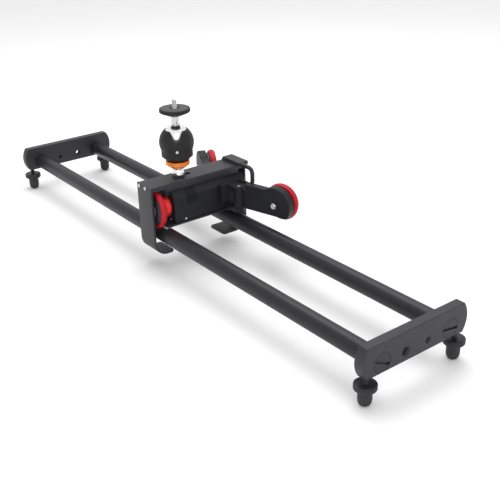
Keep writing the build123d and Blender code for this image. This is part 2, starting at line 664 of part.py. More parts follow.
def battery():
    start = GEAR_PLATE_Y + BEARING_WIDTH
    radius = BATTERY_DIAMETER / 2
    x = CASE_BACK_X + CASE_WALL + radius
    return bar_y(x, (start, start + BATTERY_LENGTH), CASE_LOW_Z + CASE_WALL + radius, radius)


def circuit_board():
    x = BOARD_X
    board = block((x, x + BOARD_THICKNESS), (BOARD_START, BOARD_FINISH),
                  (CASE_LOW_Z + 4.5, CASE_LOW_Z + 34.0))
    board += block((x - 3.0, x), (20.0, 32.0), (CASE_LOW_Z + 12.0, CASE_LOW_Z + 24.0))
    return board + block((x - 2.0, x), (40.0, 48.0), (CASE_LOW_Z + 10.0, CASE_LOW_Z + 26.0))


def shaft_bearings():
    """Two rings: one in the shell's end wall, one in the gear plate."""
    rings = []
    for y in (CASE_START, GEAR_PLATE_Y):
        ring = bar_y(CASE_X, (y, y + BEARING_WIDTH), WHEEL_Z, BEARING_DIAMETER / 2)
        rings.append(ring - bar_y(CASE_X, (y - 1, y + BEARING_WIDTH + 1), WHEEL_Z,
                                  SHAFT_DIAMETER / 2 + RUNNING_FIT))
    return rings


def save_carriage():
    save("top_plate", top_plate())
    save("near_hook", near_hook())
    save("far_hook", far_hook())
    save("hook_screws", *hook_screws())
    save("clamp_block", clamp_block())
    save("guard_loop", guard_loop())
    save("lower_plate", lower_plate())
    save("glide_pads", *glide_pads())
    save("dolly_rail", dolly_rail())
    save("front_cover", front_cover())
    save("rear_cover", rear_cover())
    save("cover_screws", *cover_screws())
    save("gear_plate", gear_plate())
    save("gear_motor", gear_motor())
    save("battery", battery())
    save("circuit_board", circuit_board())
    save("shaft_bearings", *shaft_bearings())


# -------------------------------------------------------------------- controls
def power_switch():
    """A sliding thumb piece with a retaining flange inside the rear cover."""
    inside = CASE_BACK_X + CASE_WALL + BODY_GAP
    long, tall = SWITCH_LENGTH / 2, SWITCH_WIDTH / 2
    thumb = block((CASE_BACK_X - 1.5, inside), (SWITCH_Y - long, SWITCH_Y + long),
                  (CONTROL_Z - tall, CONTROL_Z + tall))
    long, tall = long + SWITCH_TRAVEL / 2 + 0.8, tall + 1.3
    return thumb + block((inside, inside + FLANGE_THICKNESS), (SWITCH_Y - long, SWITCH_Y + long),
                         (CONTROL_Z - tall, CONTROL_Z + tall))


def speed_button():
    """A round push button with a retaining flange inside the rear cover."""
    inside = CASE_BACK_X + CASE_WALL + BODY_GAP
    stem = bar_x((CASE_BACK_X - 1.8, inside), BUTTON_Y, CONTROL_Z, BUTTON_RADIUS)
    return stem + bar_x((inside, inside + FLANGE_THICKNESS), BUTTON_Y, CONTROL_Z, BUTTON_RADIUS + 1.1)


# ------------------------------------------------------------------ drive wheel
def tyre(radius, width, depth, crown):
    """A tyre on the Z axis, centred on zero, with a rounded tread."""
    half = width / 2
    outline = Wire([
        Line((radius - depth, 0, -half), (radius - crown, 0, -half)),
        ThreePointArc((radius - crown, 0, -half), (radius, 0, 0), (radius - crown, 0, half)),
        Line((radius - crown, 0, half), (radius - depth, 0, half)),
        Line((radius - depth, 0, half), (radius - depth, 0, -half)),
    ])
    return revolve(Face(outline), Axis.Z)


def toothed(radius, teeth, width, phase):
    """A spur gear on the Z axis from zero up, with plain tapered teeth."""
    gear = Cylinder(radius - TOOTH_HEIGHT, width)
    pitch = 360 / teeth
    root = 2.9 * radius / teeth
    base = radius - TOOTH_HEIGHT - 0.2
    tip = radius + TOOTH_HEIGHT * 0.8
    outline = [(base, -root * 0.55), (tip, -root * 0.22), (tip, root * 0.22), (base, root * 0.55)]
    tooth = extrude(make_face(Polyline(*outline, close=True)), amount=width / 2, both=True)
    for index in range(teeth):
        gear += Rot(0, 0, phase + index * pitch) * tooth
    return Pos(0, 0, width / 2) * gear


def drive_tyre():
    ring = tyre(DRIVE_TYRE_RADIUS, DRIVE_TYRE_WIDTH, TYRE_DEPTH, TYRE_CROWN)
    return Pos(CASE_X, DRIVE_TYRE_Y, WHEEL_Z) * along_y(ring)


def drive_hub():
    """The black wheel under the tyre, dished at its outer face."""
    seat = DRIVE_TYRE_RADIUS - TYRE_DEPTH
    half = DRIVE_TYRE_WIDTH / 2
    outside = -half - HUB_OUTSET
    well = DISC_RADIUS + 0.2
    neck = DRUM_RADIUS - 2.0
    wheel = turned([(0, outside + 1.0), (well, outside + 1.0), (well, outside), (seat - 3.5, outside),
                    (seat, -half), (seat, half), (neck, half), (neck, half + DRUM_GAP),
                    (0, half + DRUM_GAP)])
    wheel -= Cylinder(SHAFT_DIAMETER / 2, 40)
    return Pos(CASE_X, DRIVE_TYRE_Y, WHEEL_Z) * along_y(wheel)


def hub_disc():
    """The grey disc set in the hub's outer face."""
    face = -DRIVE_TYRE_WIDTH / 2 - HUB_OUTSET + 1.0
    disc = turned([(0, face), (DISC_RADIUS, face), (DISC_RADIUS, face - 0.6),
                   (DISC_RADIUS - 1.0, face - 1.2), (0, face - 1.2)])
    return Pos(CASE_X, DRIVE_TYRE_Y, WHEEL_Z) * along_y(disc)


def drive_drum():
    """The red drum between the wheel and the dolly."""
    start = DRIVE_TYRE_Y + DRIVE_TYRE_WIDTH / 2 + DRUM_GAP
    finish = CASE_START - 1.0
    drum = bar_y(CASE_X, (start, finish), WHEEL_Z, DRUM_RADIUS)
    drum = chamfer(drum.edges().filter_by(GeomType.CIRCLE), 0.8)
    groove = bar_y(CASE_X, (start + 3.2, start + 4.4), WHEEL_Z, DRUM_RADIUS + 1)
    groove -= bar_y(CASE_X, (start + 3, start + 5), WHEEL_Z, DRUM_RADIUS - 1.0)
    return drum - groove - bar_y(CASE_X, (start - 1, finish + 1), WHEEL_Z, SHAFT_DIAMETER / 2)


def drive_shaft():
    """The steel shaft from the wheel's face to the gear plate."""
    start = DRIVE_TYRE_Y - DRIVE_TYRE_WIDTH / 2 - 1.0
    return bar_y(CASE_X, (start, GEAR_PLATE_Y + BEARING_WIDTH - 0.5), WHEEL_Z, SHAFT_DIAMETER / 2)


def drive_gear():
    gear = toothed(GEAR_RADIUS, GEAR_TEETH, GEAR_WIDTH, -GEAR_MESH_ANGLE)
    gear -= Cylinder(SHAFT_DIAMETER / 2, 40)
    return Pos(CASE_X, GEAR_Y, WHEEL_Z) * along_y(gear)


def motor_pinion():
    """The motor's pinion and output shaft, in mesh with the drive gear."""
    half_pitch = 180 / PINION_TEETH
    pinion = toothed(PINION_RADIUS, PINION_TEETH, GEAR_WIDTH, 180 - GEAR_MESH_ANGLE + half_pitch)
    pinion += Pos(0, 0, (GEAR_WIDTH + 1 + BEARING_WIDTH) / 2) * Cylinder(
        MOTOR_SHAFT_DIAMETER / 2, GEAR_WIDTH + 1 + BEARING_WIDTH - BODY_GAP)
    return Pos(PINION_X, GEAR_Y, PINION_Z) * along_y(pinion)


def save_drive():
    save("drive_tyre", drive_tyre())
    save("drive_hub", drive_hub())
    save("hub_disc", hub_disc())
    save("drive_drum", drive_drum())
    save("drive_shaft", drive_shaft())
    save("drive_gear", drive_gear())
    save("motor_pinion", motor_pinion())
    save("power_switch", power_switch())
    save("speed_button", speed_button())


# ------------------------------------------------------- folding arms and wheels
# The front arm is made about its hinge: X runs along the arm, Y from its outer
# face to the wheel.  The rear arm is the same, mirrored.
def arm():
    """The bar with its hinge knuckle and the round fender over the wheel."""
    low = ROD_Z + ARM_BOTTOM
    knuckle = (KNUCKLE_LOW_Z + ARM_LUG_HEIGHT + BODY_GAP, KNUCKLE_TOP_Z - ARM_LUG_HEIGHT - BODY_GAP)
    start = ARM_KNUCKLE_DIAMETER / 2 + 1.5
    bar = block((start, ARM_LENGTH), (0, ARM_THICKNESS), (low, low + ARM_HEIGHT))
    bar += bar_y(ARM_LENGTH, (0, ARM_THICKNESS), WHEEL_Z, ARM_FENDER_RADIUS)
    bar -= block((0, 2 * ARM_LENGTH), (-1, ARM_THICKNESS + 1), (ROD_Z - 50, low))
    bar = chamfer(bar.faces().sort_by(Axis.Y)[0].edges(), 0.8)
    web = block((0, start + 1), (0, ARM_THICKNESS * 0.6), knuckle)
    bar += web + bar_z(0, 0, knuckle, ARM_KNUCKLE_DIAMETER / 2)
    bar -= bar_z(0, 0, (KNUCKLE_LOW_Z, KNUCKLE_TOP_Z), HINGE_PIN_DIAMETER / 2 + RUNNING_FIT)
    return bar - bar_y(ARM_LENGTH, (-1, ARM_THICKNESS + 1), WHEEL_Z, AXLE_DIAMETER / 2)


def axle():
    """The shoulder screw through the arm, with a plain collar past the wheel."""
    head = Pos(ARM_LENGTH, 0, WHEEL_Z) * Rot(90, 0, 0) * socket_screw(
        AXLE_HEAD_DIAMETER / 2, AXLE_HEAD_HEIGHT, AXLE_DIAMETER / 2, ARM_THICKNESS, 2.0)
    wheel_end = ARM_THICKNESS + WHEEL_GAP + GUIDE_WHEEL_WIDTH + WHEEL_GAP / 2
    shank = bar_y(ARM_LENGTH, (ARM_THICKNESS - 1, wheel_end), WHEEL_Z, AXLE_DIAMETER / 2)
    collar = bar_y(ARM_LENGTH, (wheel_end, wheel_end + 2.5), WHEEL_Z, AXLE_DIAMETER / 2 + 2)
    return head + shank + collar


def guide_wheel_middle():
    return ARM_THICKNESS + WHEEL_GAP + GUIDE_WHEEL_WIDTH / 2


def wheel_hub():
    """The black wheel of an arm, dished on both faces."""
    seat = GUIDE_TYRE_RADIUS - TYRE_DEPTH
    half = GUIDE_WHEEL_WIDTH / 2
    bore = AXLE_DIAMETER / 2 + RUNNING_FIT
    wheel = turned([(bore, -half), (7, -half), (8.5, -half + 2), (seat - 4, -half + 2),
                    (seat - 2.5, -half), (seat, -half), (seat, half), (seat - 2.5, half),
                    (seat - 4, half - 2), (8.5, half - 2), (7, half), (bore, half)])
    return Pos(ARM_LENGTH, guide_wheel_middle(), WHEEL_Z) * along_y(wheel)


def wheel_tyre():
    """The tyre on the outer part of the hub, away from the arm."""
    ring = tyre(GUIDE_TYRE_RADIUS, GUIDE_TYRE_WIDTH, TYRE_DEPTH, TYRE_CROWN)
    middle = guide_wheel_middle() + (GUIDE_WHEEL_WIDTH - GUIDE_TYRE_WIDTH) / 2
    return Pos(ARM_LENGTH, middle, WHEEL_Z) * along_y(ring)


def front_place():
    return Pos(CASE_FRONT_X + ARM_PIVOT_OUTSET, ARM_PIVOT_Y, 0) * Rot(0, 0, FRONT_ARM_ANGLE)


def rear_place():
    """The mirrored arm's place: the same hinge behind the dolly, at its own angle."""
    return Pos(CASE_BACK_X - ARM_PIVOT_OUTSET, ARM_PIVOT_Y, 0) * Rot(0, 0, -REAR_ARM_ANGLE)


def hinge_bracket():
    """The block on the dolly's front face with two lugs for the hinge pin."""
    pivot_x = CASE_FRONT_X + ARM_PIVOT_OUTSET
    radius = ARM_KNUCKLE_DIAMETER / 2
    base = block((CASE_FRONT_X, CASE_FRONT_X + 7.5), (ARM_PIVOT_Y - 20, ARM_PIVOT_Y - 7),
                 (KNUCKLE_LOW_Z + 13.0, KNUCKLE_TOP_Z + 2.0))
    base += block((CASE_FRONT_X, CASE_FRONT_X + 5.0), (ARM_PIVOT_Y - 10, ARM_PIVOT_Y + radius),
                  (KNUCKLE_LOW_Z + 1.5, KNUCKLE_TOP_Z))
    for low in (KNUCKLE_LOW_Z, KNUCKLE_TOP_Z - ARM_LUG_HEIGHT):
        z = (low, low + ARM_LUG_HEIGHT)
        base += block((CASE_FRONT_X + 1.0, pivot_x), (ARM_PIVOT_Y - radius, ARM_PIVOT_Y + 2.0), z)
        base += bar_z(pivot_x, ARM_PIVOT_Y, z, radius)
    return base - bar_z(pivot_x, ARM_PIVOT_Y, (KNUCKLE_LOW_Z - 1, KNUCKLE_TOP_Z + 1),
                        HINGE_PIN_DIAMETER / 2)


def hinge_pin():
    return bar_z(CASE_FRONT_X + ARM_PIVOT_OUTSET, ARM_PIVOT_Y,
                 (KNUCKLE_LOW_Z, KNUCKLE_TOP_Z + 1.0), HINGE_PIN_DIAMETER / 2)


def save_arms():
    bracket = hinge_bracket()
    save("hinge_bracket_front", bracket)
    save("hinge_bracket_rear", mirrored_x(bracket, CASE_X))
    save("hinge_pins", hinge_pin(), mirrored_x(hinge_pin(), CASE_X))
    pieces = {"arm": arm(), "axle": axle(), "wheel_hub": wheel_hub(), "wheel_tyre": wheel_tyre()}
    for name, shape in pieces.items():
        save(f"{name}_front", front_place() * shape)
        save(f"{name}_rear", rear_place() * mirrored_x(shape, 0))


# -------------------------------------------------------------------- ball head
# Heights here are above the top plate, on the head's own axis.
def on_head(shape):
    return Pos(HEAD_X, HEAD_Y, TOP_Z) * Rot(0, 0, HEAD_FACING) * shape


def head_washer():
    ring = bar_z(0, 0, (0, WASHER_HEIGHT), WASHER_DIAMETER / 2)
    return ring - bar_z(0, 0, (-1, WASHER_HEIGHT + 1), SLOT_WIDTH / 2)


def head_base():
    """The silver collar with cross holes, its T-headed stud and its spigot."""
    low = WASHER_HEIGHT
    high = COLLAR_TOP
    radius = COLLAR_DIAMETER / 2
    collar = turned([(0, low), (radius - 1.2, low), (radius, low + 1.2), (radius, high - 2.2),
                     (radius - 1.5, high), (0, high)])
    for angle in (-30, 30, 90, 150):
        drill = Rot(0, 0, angle) * bar_x((radius - 4, radius + 1), 0, low + 5.5, 1.7)
        collar -= drill
    collar += bar_z(0, 0, (high - 1, SPIGOT_TOP), SPIGOT_RADIUS)
    collar += bar_z(0, 0, (-TOP_PLATE_THICKNESS - 1, low + 1), SLOT_WIDTH / 2 - BODY_GAP)
    return collar + bar_z(0, 0, (-TOP_PLATE_THICKNESS - T_HEAD_HEIGHT, -TOP_PLATE_THICKNESS),
                          T_HEAD_DIAMETER / 2)


def head_lock_ring():
    """The orange ring: a cone below, a knurled band with a groove above."""
    low = COLLAR_TOP + BODY_GAP
    high = COLLAR_TOP + LOCK_RING_HEIGHT
    edge = LOCK_RING_DIAMETER / 2
    bore = SPIGOT_RADIUS + RUNNING_FIT
    return turned([(bore, low), (9.2, low), (edge, low + 5.0), (edge, low + 7.4),
                   (edge - 0.7, low + 7.8), (edge - 0.7, low + 8.4), (edge, low + 8.8), (edge, high),
                   (bore, high)])


def housing_notch():
    """The space of a slot with a round bottom that flares to the cup's rim."""
    middle = BALL_HEIGHT + NOTCH_RISE
    narrow, wide = NOTCH_WIDTH / 2, NOTCH_FLARE / 2
    flare = [(-narrow, middle), (narrow, middle), (wide, HOUSING_TOP), (wide, HOUSING_TOP + 1),
             (-wide, HOUSING_TOP + 1), (-wide, HOUSING_TOP)]
    return prism_x(flare, (0, HOUSING_RADIUS + 5)) + bar_x((0, HOUSING_RADIUS + 5), 0, middle, narrow)


def head_housing():
    """The black ball cup, open at the top, with one notch for the stem."""
    low = COLLAR_TOP + LOCK_RING_HEIGHT + BODY_GAP
    join = HOUSING_CENTRE - sqrt(HOUSING_RADIUS ** 2 - HOUSING_WAIST ** 2)
    lower = turned([(0, low), (HOUSING_WAIST - 6.3, low + 0.8), (HOUSING_WAIST, low + 6.0),
                    (HOUSING_WAIST, join), (0, join)])
    sphere = Pos(0, 0, HOUSING_CENTRE) * Sphere(HOUSING_RADIUS)
    side = (-HOUSING_RADIUS - 1, HOUSING_RADIUS + 1)
    cup = lower + (sphere & block(side, side, (join - 0.4, HOUSING_TOP)))
    cup -= Pos(0, 0, BALL_HEIGHT) * Sphere(BALL_RADIUS + BODY_GAP)
    cup -= housing_notch()
    cup -= bar_z(0, 0, (low - 1, SPIGOT_TOP + BODY_GAP), SPIGOT_RADIUS + RUNNING_FIT)
    return cup - bar_x((SET_SCREW_START, HOUSING_RADIUS + 5), 0, SET_SCREW_HEIGHT, SET_SCREW_RADIUS)


def head_set_screw():
    """The small ring-faced screw in the housing, under the notch."""
    screw = bar_x((SET_SCREW_START, SET_SCREW_FINISH), 0, SET_SCREW_HEIGHT, SET_SCREW_RADIUS)
    socket = (SET_SCREW_FINISH - 1.3, SET_SCREW_FINISH + 1)
    return screw - bar_x(socket, 0, SET_SCREW_HEIGHT, SET_SCREW_RADIUS / 2)


def head_ball():
    """The bright ball and its stem."""
    ball = Pos(0, 0, BALL_HEIGHT) * Sphere(BALL_RADIUS)
    stem = bar_z(0, 0, (BALL_HEIGHT, STEM_TOP), STEM_DIAMETER / 2)
    return ball + stem - bar_z(0, 0, (STEM_TOP - 8, STEM_TOP + 1), CAMERA_SCREW_NECK)


def head_platform():
    """The round platform: a shallow cone under a ridged rim."""
    edge = PLATFORM_DIAMETER / 2
    rim = PLATFORM_TOP - PLATFORM_RIM
    low = STEM_TOP + BODY_GAP
    bore = CAMERA_SCREW_NECK + RUNNING_FIT
    recess = PLATFORM_TOP - PAD_RECESS
    return turned([(bore, low), (9.0, low), (edge - 0.8, rim), (edge, rim + 0.8),
                   (edge, PLATFORM_TOP - 0.8), (edge - 0.8, PLATFORM_TOP),
                   (edge - 2.2, PLATFORM_TOP), (edge - 2.2, recess), (bore, recess)])


def platform_pad():
    """The rubber ring on the platform."""
    low = PLATFORM_TOP - PAD_RECESS
    outer = PLATFORM_DIAMETER / 2 - 2.3
    return turned([(6.5, low), (outer, low), (outer, low + PAD_THICKNESS), (6.5, low + PAD_THICKNESS)])


def camera_screw():
    """The screw that the camera goes on, set in the stem."""
    top = PLATFORM_TOP + CAMERA_SCREW_LENGTH
    shoulder = PLATFORM_TOP - PAD_RECESS + BODY_GAP
    neck = CAMERA_SCREW_NECK
    radius = SMALL_THREAD_RADIUS
    return turned([(0, STEM_TOP - 8), (neck, STEM_TOP - 8), (neck, shoulder), (radius, shoulder),
                   (radius, top - 0.8), (radius - 0.8, top), (0, top)])


def save_head():
    save("head_washer", on_head(head_washer()))
    save("head_base", on_head(head_base()))
    save("head_lock_ring", on_head(head_lock_ring()))
    save("head_housing", on_head(head_housing()))
    save("head_set_screw", on_head(head_set_screw()))
    save("head_ball", on_head(head_ball()))
    save("head_platform", on_head(head_platform()))
    save("platform_pad", on_head(platform_pad()))
    save("camera_screw", on_head(camera_screw()))


os.makedirs("parts", exist_ok=True)
save_rails()
save_feet()
save_carriage()
save_drive()
save_arms()
save_head()
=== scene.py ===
import json
from math import cos, pi, radians, sin

import bmesh
import bpy
import numpy as np
from bpy.props import FloatProperty, FloatVectorProperty, IntProperty, PointerProperty
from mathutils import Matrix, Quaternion, Vector


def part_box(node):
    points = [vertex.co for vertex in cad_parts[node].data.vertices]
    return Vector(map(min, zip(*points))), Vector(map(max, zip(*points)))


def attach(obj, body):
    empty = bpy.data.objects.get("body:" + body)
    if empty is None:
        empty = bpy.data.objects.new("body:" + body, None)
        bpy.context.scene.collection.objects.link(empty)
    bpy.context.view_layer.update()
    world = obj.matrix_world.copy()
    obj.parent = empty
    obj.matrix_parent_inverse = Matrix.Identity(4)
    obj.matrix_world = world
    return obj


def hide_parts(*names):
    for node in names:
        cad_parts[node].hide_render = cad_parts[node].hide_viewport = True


bl_info = {
    "name": "Camera Slider",
    "version": (1, 0, 0),
    "blender": (4, 5, 0),
    "location": "View3D > Sidebar > Slider",
    "description": "Dresses the frame of a motorised camera slider with detailed pieces",
    "category": "Object",
}

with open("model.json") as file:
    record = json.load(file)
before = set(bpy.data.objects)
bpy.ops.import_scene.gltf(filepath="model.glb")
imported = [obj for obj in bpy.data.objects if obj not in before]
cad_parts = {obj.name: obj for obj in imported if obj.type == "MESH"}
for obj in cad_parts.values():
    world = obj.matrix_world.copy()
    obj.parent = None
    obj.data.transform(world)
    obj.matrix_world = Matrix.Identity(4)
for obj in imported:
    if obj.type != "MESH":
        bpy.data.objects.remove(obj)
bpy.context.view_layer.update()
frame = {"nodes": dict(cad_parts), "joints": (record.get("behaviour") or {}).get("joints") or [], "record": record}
MM = 0.001
BODIES = frame["record"]["behaviour"]["bodies"]
BODY_OF = {node: body for body, members in BODIES.items() for node in members}
JOINTS = {joint["name"]: joint for joint in frame["joints"]}
MOUNTS = {mount["name"]: mount for mount in frame["record"]["mounts"]}
SLOT_COLOURS = {entry["slot"]: entry["base_color"] for entry in frame["record"]["materials"]}
# Radii inside the head's turned parts, which their outlines in the frame don't give.
WASHER_BORE = 3.3 * MM
RING_FOOT = 9.2 * MM
KNURL_INNER = 10 * MM
PLATFORM_FOOT = 9.0 * MM
PAD_BORE = 6.5 * MM


# ------------------------------------------------------------ sizes and colours
def length(label, about, default):
    """A size in metres that a user may change."""
    return FloatProperty(name=label, description=about, default=default, min=0.0,
                         subtype="DISTANCE", unit="LENGTH", precision=5)


def paint(label, slot, about, shade=None):
    """A finish's colour, which starts as the given shade or else the frame's own."""
    return FloatVectorProperty(name=label, description=about, default=shade or SLOT_COLOURS[slot],
                               subtype="COLOR", size=3, min=0.0, max=1.0)


class SliderSizes(bpy.types.PropertyGroup):
    """Sizes of the details that the frame leaves plain."""

    edge_ease: length("Edge ease", "Rounding along the edges of the machined parts", 0.35 * MM)
    tube_wall: length("Tube wall", "Wall of the two tubes", 2.0 * MM)
    large_pitch: length("Large thread pitch", "Pitch of the 3/8 inch threads", 25.4 * MM / 16)
    small_pitch: length("Small thread pitch", "Pitch of the 1/4 inch threads", 25.4 * MM / 20)
    stud_pitch: length("Stud pitch", "Pitch of the feet's threads", 1.0 * MM)
    ring_height: length("Foot ring height", "Height of a foot's grip ring", 8.0 * MM)
    grip_depth: length("Grip depth", "Depth of the grooves round a foot's ring", 0.5 * MM)
    hook_thickness: length("Hook thickness", "Thickness of the carriage's hooks", 3.0 * MM)
    hook_bend: length("Hook bend", "Outer radius of the hooks' bends", 20.0 * MM)
    hook_tip: length("Hook tip", "Corner radius of a hook's tip", 4.0 * MM)
    loop_bar: length("Loop bar", "Width of the guard loop's bar", 5.2 * MM)
    loop_bend: length("Loop bend", "Rounding of the guard loop's corners", 9.0 * MM)
    tyre_depth: length("Tyre depth", "Thickness of the tyres", 4.5 * MM)
    tyre_crown: length("Tyre crown", "Fall of a tread from its middle to its edges", 1.8 * MM)
    guide_tyre_width: length("Guide tyre width", "Width of the arms' tyres", 8.5 * MM)
    guide_hub_width: length("Guide hub width", "Width of the hubs under them", 12.0 * MM)
    stud_radius: length("Stud radius", "Radius of the feet's studs", 3.0 * MM)
    running_fit: length("Running fit", "Clearance round a turning shaft", 0.04 * MM)
    axle_radius: length("Axle radius", "Radius of the guide wheels' axles", 3.0 * MM)
    spigot_radius: length("Spigot radius", "Radius of the ball head's spigot", 5.0 * MM)
    screw_neck: length("Screw neck", "Radius of the camera screw inside the stem", 3.0 * MM)
    stem_radius: length("Stem radius", "Radius of the ball's stem", 5.25 * MM)
    knurl_depth: length("Knurl depth", "Depth of the lock ring's knurl", 0.22 * MM)
    pad_step: length("Pad ring pitch", "Distance between the rings on the platform's pad", 1.6 * MM)


class SliderCounts(bpy.types.PropertyGroup):
    """How many of each repeated detail."""

    sides: IntProperty(name="Sides", description="Sides of a turned piece", default=96, min=24)
    foot_grips: IntProperty(name="Foot grips", description="Grooves round a foot's ring",
                            default=24)
    knurls: IntProperty(name="Knurls", description="Ridges round the lock ring", default=60)
    rim_ridges: IntProperty(name="Rim ridges", description="Ridges round the platform", default=72)


class SliderColours(bpy.types.PropertyGroup):
    """Base colours of the finishes."""

    anodised_black: paint("Anodised black", "anodised_black", "Plates and hooks",
                          (0.029, 0.029, 0.033))
    tube_black: paint("Tube black", "tube_black", "The two tubes", (0.018, 0.018, 0.0215))
    steel: paint("Steel", "steel", "Bright screws, pins, shaft and stem")
    screw_black: paint("Screw black", "screw_black", "Blackened screws and foot studs",
                       (0.022, 0.022, 0.025))
    foot_rubber: paint("Foot rubber", "foot_rubber", "The feet's tips", (0.024, 0.024, 0.026))
    shell_black: paint("Shell black", "shell_black", "The dolly's moulded covers and arms",
                       (0.015, 0.0155, 0.019))
    wheel_black: paint("Wheel black", "wheel_black", "The wheels under the tyres",
                       (0.020, 0.020, 0.022))
    tyre_red: paint("Tyre red", "tyre_red", "Tyres", (0.46, 0.009, 0.021))
    drum_red: paint("Drum red", "drum_red", "The drum beside the drive wheel", (0.98, 0.032, 0.036))
    disc_grey: paint("Disc grey", "disc_grey", "The disc in the drive wheel", (0.62, 0.63, 0.65))
    ring_orange: paint("Ring orange", "ring_orange", "The ball head's lock ring")
    head_black: paint("Head black", "head_black", "The ball head's cup and platform",
                      (0.015, 0.015, 0.0165))
    ball_silver: paint("Ball silver", "ball_silver", "The ball and the collar",
                       (0.95, 0.95, 0.96))
    pad_rubber: paint("Pad rubber", "pad_rubber", "The ringed pad on the platform",
                      (0.062, 0.062, 0.065))
    glide_plastic: paint("Glide plastic", "glide_plastic", "Saddles over the tubes")
    washer_black: paint("Washer black", "washer_black", "The washer under the head")
    board_green: paint("Board green", "board_green", "The circuit board")
    cell_wrap: paint("Cell wrap", "cell_wrap", "The battery's wrap")
    gear_white: paint("Gear white", "gear_white", "The gears")


class StageSettings(bpy.types.PropertyGroup):
    """The floor, the lights and the camera."""

    target: FloatVectorProperty(name="Target", description="The point that the camera looks at",
                                default=(0.1346, -0.0115, 0.060), subtype="TRANSLATION", size=3)
    azimuth: FloatProperty(name="Azimuth", description="The camera's heading round the object",
                           default=radians(52.91), subtype="ANGLE", unit="ROTATION")
    elevation: FloatProperty(name="Elevation", description="The camera's angle over the horizon",
                             default=radians(25.75), subtype="ANGLE", unit="ROTATION")
    roll: FloatProperty(name="Roll", description="The camera's turn about its own line of sight",
                        default=radians(-1.30), subtype="ANGLE", unit="ROTATION")
    distance: length("Distance", "From the camera to its target", 1.0162)
    lens: FloatProperty(name="Lens", description="Focal length in millimetres", default=58.9)
    floor_size: length("Floor size", "Width of the floor", 14.0)
    floor_colour: FloatVectorProperty(name="Floor", description="The floor's colour",
                                      default=(0.94, 0.94, 0.94), subtype="COLOR", size=3)
    sky: FloatProperty(name="Sky", description="Strength of the even light all round", default=0.87)
    key_power: FloatProperty(name="Key", description="Power of the large overhead light",
                             default=14.0, subtype="POWER", unit="POWER")
    fill_power: FloatProperty(name="Fill", description="Power of the light beside the camera",
                              default=5.0, subtype="POWER", unit="POWER")


# --------------------------------------------------------------------- surfaces
def eased(corners, radius, steps=4, closed=False):
    """Rounded corners: the quadratic curve (1-t)^2 A + 2t(1-t) C + t^2 B at each corner C, where A
    and B are one radius, or just under half a side, from C towards its neighbours."""
    c = np.asarray(corners, float)
    before, after = np.roll(c, 1, axis=0) - c, np.roll(c, -1, axis=0) - c
    pull = []
    for side in (before, after):
        span = np.linalg.norm(side, axis=1, keepdims=True) + 1e-12
        pull.append(c + side / span * np.minimum(radius, 0.48 * span))
    t = np.linspace(0, 1, steps)[None, :, None]
    start, end = pull[0][:, None], pull[1][:, None]
    curve = (1 - t) ** 2 * start + 2 * t * (1 - t) * c[:, None] + t ** 2 * end
    if closed:
        return curve.reshape(-1, c.shape[1])
    return np.vstack([c[:1], curve[1:-1].reshape(-1, c.shape[1]), c[-1:]])


def refined(profile, step):
    """The same profile with points no further apart than step, evenly spread by arc length."""
    walk = np.concatenate([[0], np.cumsum(np.linalg.norm(np.diff(profile, axis=0), axis=1))])
    even = np.arange(0, walk[-1], step)
    places = np.unique(np.concatenate([walk, even]))
    return np.stack([np.interp(places, walk, profile[:, k]) for k in (0, 1)], axis=1)


def lathe(profile, sides, ripple=None):
    """A ring of points for each (radius, height): x = r cos a, y = r sin a, z = h, where
    r = radius - ripple(radius, height, a) when the surface is grooved."""
    angle = np.arange(sides) * 2 * pi / sides
    radius, height = np.asarray(profile, float).T[:, :, None]
    turned = radius - ripple(radius, height, angle[None, :]) if ripple else radius + 0 * angle
    return np.stack([turned * np.cos(angle), turned * np.sin(angle), height + 0 * angle], axis=-1)


def helix(pitch, depth, low, high):
    """A screw thread's groove: depth times a triangle wave of height/pitch - angle/2 pi, which
    fades in and out over half a pitch at its two ends."""
    def groove(radius, height, angle):
        phase = (height / pitch - angle / (2 * pi)) % 1.0
        fade = np.clip(np.minimum(height - low, high - height) / (0.5 * pitch), 0, 1)
        return depth * fade * np.abs(2 * phase - 1)
    return groove


def flutes(count, depth, low, high, sharpness):
    """Upright grooves between two heights: depth times a raised cosine of count times the angle."""
    def groove(radius, height, angle):
        inside = np.clip(np.minimum(height - low, high - height) / (0.4 * MM), 0, 1)
        return depth * inside * (0.5 + 0.5 * np.cos(count * angle)) ** sharpness
    return groove


def beyond(limit, outside, inside=None):
    """One groove where the radius is over a limit, and another, or none, below it."""
    def groove(radius, height, angle):
        below = inside(radius, height, angle) if inside else 0
        return np.where(radius > limit, outside(radius, height, angle), below)
    return groove


def carried(section, path, across):
    """A section carried along a path: point = path + u across + v (tangent x across), where
    (u, v) are the section's points and the tangent is the path's own slope."""
    slope = np.gradient(path, axis=0)
    tangent = slope / np.linalg.norm(slope, axis=1, keepdims=True)
    normal = np.cross(tangent, across)
    return (path[:, None] + section[..., :1] * np.asarray(across, float)
            + section[..., 1:] * normal[:, None])


def shell(grid, loop=False, ends=None):
    """Points, four-sided and three-sided faces of a closed surface from rings of points.  Each ring
    joins the next; the last joins the first, or else both ends close in a fan to a middle point."""
    rings, sides = grid.shape[:2]
    index = np.arange(rings * sides).reshape(rings, sides)
    beside = np.roll(index, -1, axis=1)
    over, over_beside = np.roll(index, -1, axis=0), np.roll(beside, -1, axis=0)
    quads = np.stack([index, beside, over_beside, over], axis=-1)
    points = grid.reshape(-1, 3)
    fans = np.zeros((0, 3), int)
    if not loop:
        quads = quads[:-1]
        tips = ends if ends is not None else (grid[0].mean(0), grid[-1].mean(0))
        points = np.vstack([points, tips])
        first, last = len(points) - 2, len(points) - 1
        fans = np.vstack([
            np.stack([np.full(sides, first), beside[0], index[0]], axis=1),
            np.stack([np.full(sides, last), index[-1], beside[-1]], axis=1),
        ])
    return outward(points, quads.reshape(-1, 4), fans)


